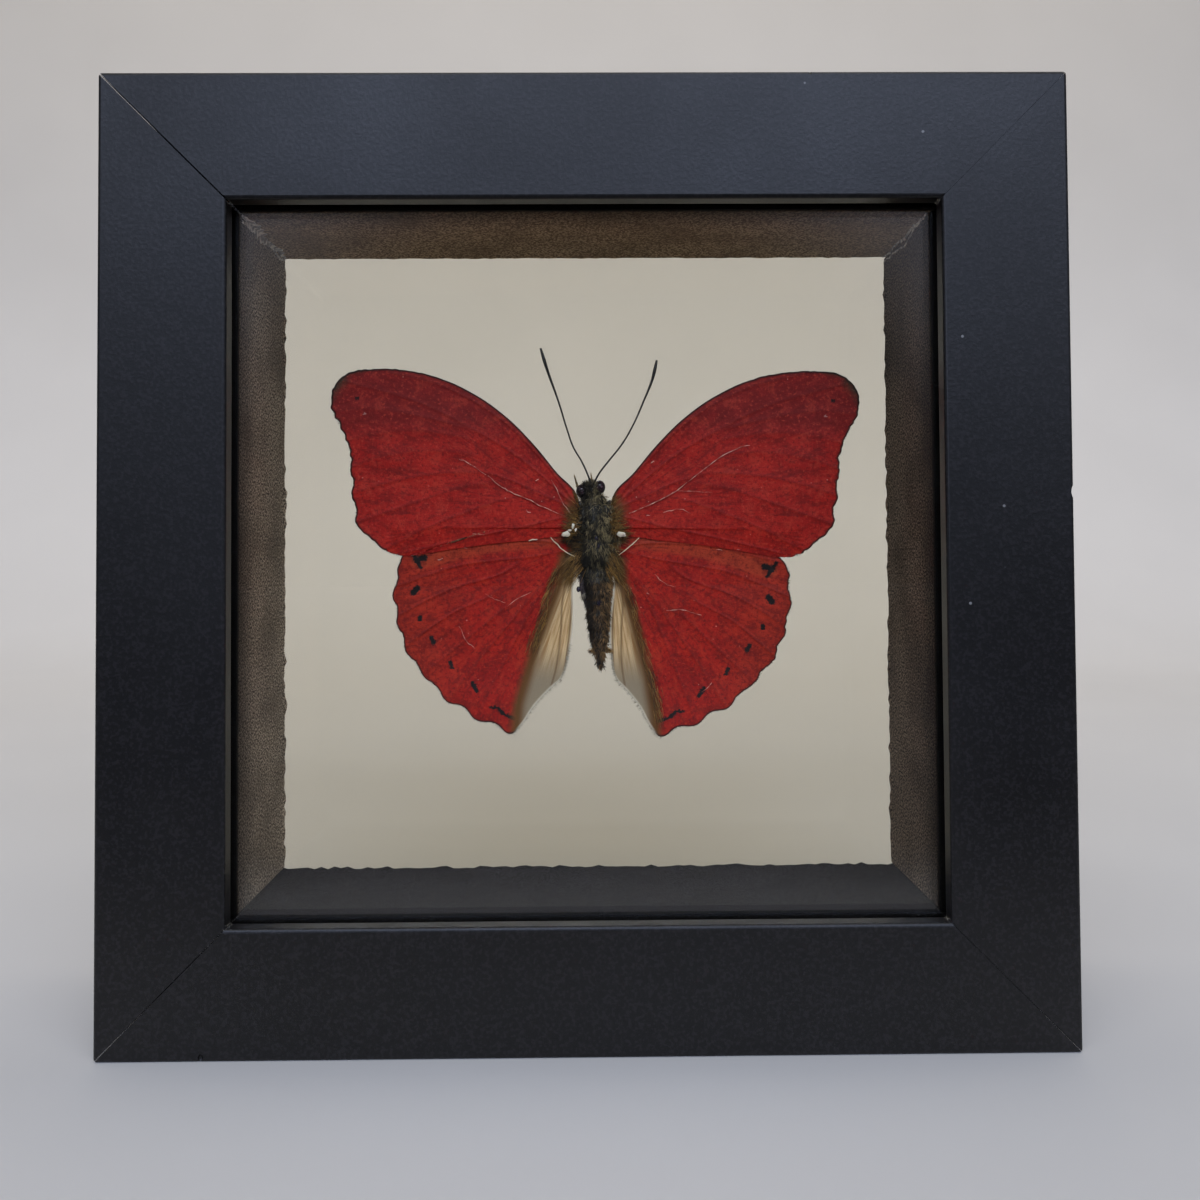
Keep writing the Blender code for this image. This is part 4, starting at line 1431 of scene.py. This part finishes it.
def cover_wings(places, golden, dusky, pale):
    """Long hair over the wing roots and along the folds, and scales along the margins."""
    for index, word in enumerate(("left", "right")):
        fore = places["forewing_" + word]
        hind = places["hindwing_" + word]
        border = FOLD_LINES["hindwing_" + word]
        tuft("forewing_root_hair_" + word, golden, fore, ((0.0, -0.2), (0.6, -3.4)), 0.35,
             6.0, 30.0, (1.0, 2.4), 190, 31 + index)
        tuft("costal_root_hair_" + word, golden, fore, ((-0.1, 0.6), (0.3, 2.2)), 0.25,
             62.0, 14.0, (0.7, 1.4), 34, 35 + index)
        tuft("hindwing_root_hair_" + word, golden, hind, ((0.2, -0.8), (0.8, -3.8)), 0.45,
             -55.0, 14.0, (1.4, 3.2), 260, 41 + index, (0.3, 0.8))
        tuft("fold_hair_upper_" + word, golden, hind, (border[1], border[4]), 0.35, -66.0,
             8.0, (1.0, 2.4), 150, 51 + index)
        tuft("fold_hair_lower_" + word, golden, hind, (border[4], border[5]), 0.35, -70.0,
             8.0, (1.0, 2.2), 80, 55 + index)
        fringe("forewing_fringe_" + word, "forewing_scales", dusky, fore, FOREWING[9:23],
               7.0, 0.28, 61 + index)
        fringe("hindwing_fringe_" + word, "hindwing_scales", dusky, hind, HINDWING[4:20],
               7.0, 0.30, 71 + index)
        fringe("fold_fringe_" + word, "hindwing_scales", pale, hind, HINDWING[18:25],
               9.0, 0.50, 81 + index, -0.4)


def wear_wings(places):
    """Rubbed veins and the bare plates and flakes at the wing joints."""
    ivory = horn("ivory_bare_vein", "#EED6AE", "#FFF0D6", 0.3, 0.5)
    rosy = horn("rosy_rubbed_vein", "#A04034", "#FFCDB4", 0.5, 0.5)
    white = horn("white_joint_plate", "#F0E2C8", "#FFF6E6", 0.4, 0.25)
    for index, (node, width, line) in enumerate(RUBBED_VEINS):
        rubbed_vein(f"rubbed_vein_{index + 1}", places[node], node, line, width,
                    ivory if width > 0.08 else rosy)
    for name, place, radii in JOINT_PLATES:
        joint_plate(name, place, radii, white)


def build_specimen():
    olive = hair("olive_brown_body_hair", "#0D0805", "#DCC592")
    # Warmer than the thorax, as the hair there is older and greasier
    umber = hair("umber_abdomen_hair", "#140904", "#E0AE70")
    golden = hair("golden_brown_wing_hair", "#2C1A08", "#BC8C44")
    pale = hair("pale_fringe_scales", "#6E6250", "#D8CFBE")
    dusky = hair("dusky_fringe_scales", "#140C0A", "#4A2A22")
    places = build_wings()
    body = build_body(horn("dark_olive_body_skin", "#0E0B0A", "#2C2418", 0.5, 0.55))
    build_head_parts(horn("purple_brown_eye_horn", "#1A0E12", "#33222A", 0.25, 0.22),
                     horn("golden_brown_palp", "#4A3818", "#94784A", 0.3, 0.6))
    build_antennae(horn("black_antenna_horn", "#080606", "#1A1412", 0.3, 0.45))
    build_legs(horn("dull_purple_leg_horn", "#2A2024", "#5E5054", 0.3, 0.5))
    cover_body(body, olive, umber, golden, pale)
    cover_wings(places, golden, dusky, pale)
    wear_wings(places)
    build_glue_dab(dried_glue("set_clear_glue", "#B9AE94", 0.6, 0.2))


# ---------------------------------------------------------------- studio

def build_stage():
    """A floor that sweeps up into a backdrop far behind the frame."""
    deselect_all()
    bpy.ops.mesh.primitive_grid_add(x_subdivisions=2, y_subdivisions=80, size=1.0)
    sweep = bpy.context.object
    sweep.name = "studio_sweep"
    near, far, bend, rise, width = -3.0, 0.75, 0.35, 2.2, 6.0
    arc = bend * math.pi / 2
    run = (far - near - bend) + arc + rise
    for vertex in sweep.data.vertices:
        along = (vertex.co.y + 0.5) * run
        across = vertex.co.x * width
        if along < far - near - bend:
            spot = Vector((across, near + along, 0.0))
        elif along < far - near - bend + arc:
            angle = (along - (far - near - bend)) / bend
            spot = Vector((across, far - bend + bend * math.sin(angle),
                           bend * (1 - math.cos(angle))))
        else:
            spot = Vector((across, far, bend + along - (far - near - bend) - arc))
        vertex.co = spot
    smooth(sweep)
    sweep.data.materials.append(studio_paper("pale_studio_paper", "#D2CEC7"))


def area_light(name, place, target, size, power, colour, spread):
    data = bpy.data.lights.new(name, "AREA")
    data.shape = "RECTANGLE"
    data.size, data.size_y = size
    data.energy = power
    data.color = srgb(colour)[:3]
    data.spread = math.radians(spread)
    item = bpy.data.objects.new(name, data)
    bpy.context.collection.objects.link(item)
    item.location = place
    item.rotation_euler = (Vector(target) - Vector(place)).to_track_quat("-Z", "Y").to_euler()


def build_lights():
    area_light("cool_window", (0.05, -0.92, 0.67), (0.0, 0.0, 0.06), (3.0, 0.38), 4.3,
               "#CCDCFF", 80)
    area_light("ceiling", (0.0, -0.36, 0.95), (0.0, 0.0, 0.06), (0.9, 0.2), 0.9,
               "#FFFFFF", 120)
    area_light("wall_wash", (0.0, 0.15, 1.0), (0.0, 0.75, 0.15), (1.6, 0.35), 3.4,
               "#FFF8EE", 125)
    world = bpy.data.worlds.new("soft_room")
    bpy.context.scene.world = world
    world.use_nodes = True
    tree = world.node_tree
    # The room is dim, darkest in front, where whoever looks at the frame is mirrored in it
    way = add_node(tree, "ShaderNodeTexCoord").outputs["Generated"]
    facing, height = (add_node(tree, "ShaderNodeVectorMath", {0: way, 1: axis},
                               operation="DOT_PRODUCT").outputs["Value"]
                      for axis in ((0.0, -1.0, 0.0), (0.0, 0.0, 1.0)))
    ahead = lay(tree, "#2A2624", "#CCD2E6", height, (-0.22, 0.06))
    room = lay(tree, "#5C6066", ahead, facing, (0.30, 0.70))
    sky = tree.nodes["Background"]
    tree.links.new(lay(tree, "#202226", room, facing, (0.955, 0.90)), sky.inputs[0])
    sky.inputs[1].default_value = 0.7


# Lens and stance: a wide lens 13 cm in front of the frame, about level with its middle
CAMERA_DISTANCE = 128.5 * MM
CAMERA_ASIDE = -0.26 * MM
CAMERA_DROP = -0.73 * MM
CAMERA_LENS = 31.5
CAMERA_TURN = (math.pi / 2 + 0.0240, 0.0060, -0.0095)
CAMERA_SHIFT = (0.004, -0.05)


def build_camera():
    data = bpy.data.cameras.new("camera")
    data.lens = CAMERA_LENS
    data.sensor_width = 36.0
    data.shift_x, data.shift_y = CAMERA_SHIFT
    data.clip_start = 0.005
    camera = bpy.data.objects.new("camera", data)
    bpy.context.collection.objects.link(camera)
    camera.location = (CAMERA_ASIDE, FRONT - CAMERA_DISTANCE, CENTRE.z + CAMERA_DROP)
    camera.rotation_euler = CAMERA_TURN
    bpy.context.scene.camera = camera
    bpy.context.scene.view_settings.view_transform = "Standard"


def main():
    build_camera()
    build_lights()
    build_stage()
    build_rails(satin_black_lacquer(),
                rough_lining_paint("dark_mitre_glue", "#0A0908", "#161412"))
    # One lining paint in four copies, lighter or darker by side: painted light and shade for how
    # each strip faces the lamps
    paints = {"top": rough_lining_paint("lining_painted_lighter_top", "#7C664E", "#D6B894"),
              "left": rough_lining_paint("grey_brown_lining_paint", "#5A4E42", "#D8C4AC"),
              "right": rough_lining_paint("lining_painted_shade_right", "#342C26", "#A08C78"),
              "bottom": rough_lining_paint("lining_painted_shade_bottom", "#0A090C", "#343236")}
    build_linings(paints, rough_lining_paint("black_stop_paint", "#131214", "#2A2628"))
    glass = picture_glass()
    for node in ("glass_front", "glass_back"):
        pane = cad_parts[node]
        pane.data.materials.clear()
        pane.data.materials.append(glass)
    build_corner_glue(dried_glue("milky_dried_glue", "#8A8078", 0.0, 0.45))
    build_specimen()


main()
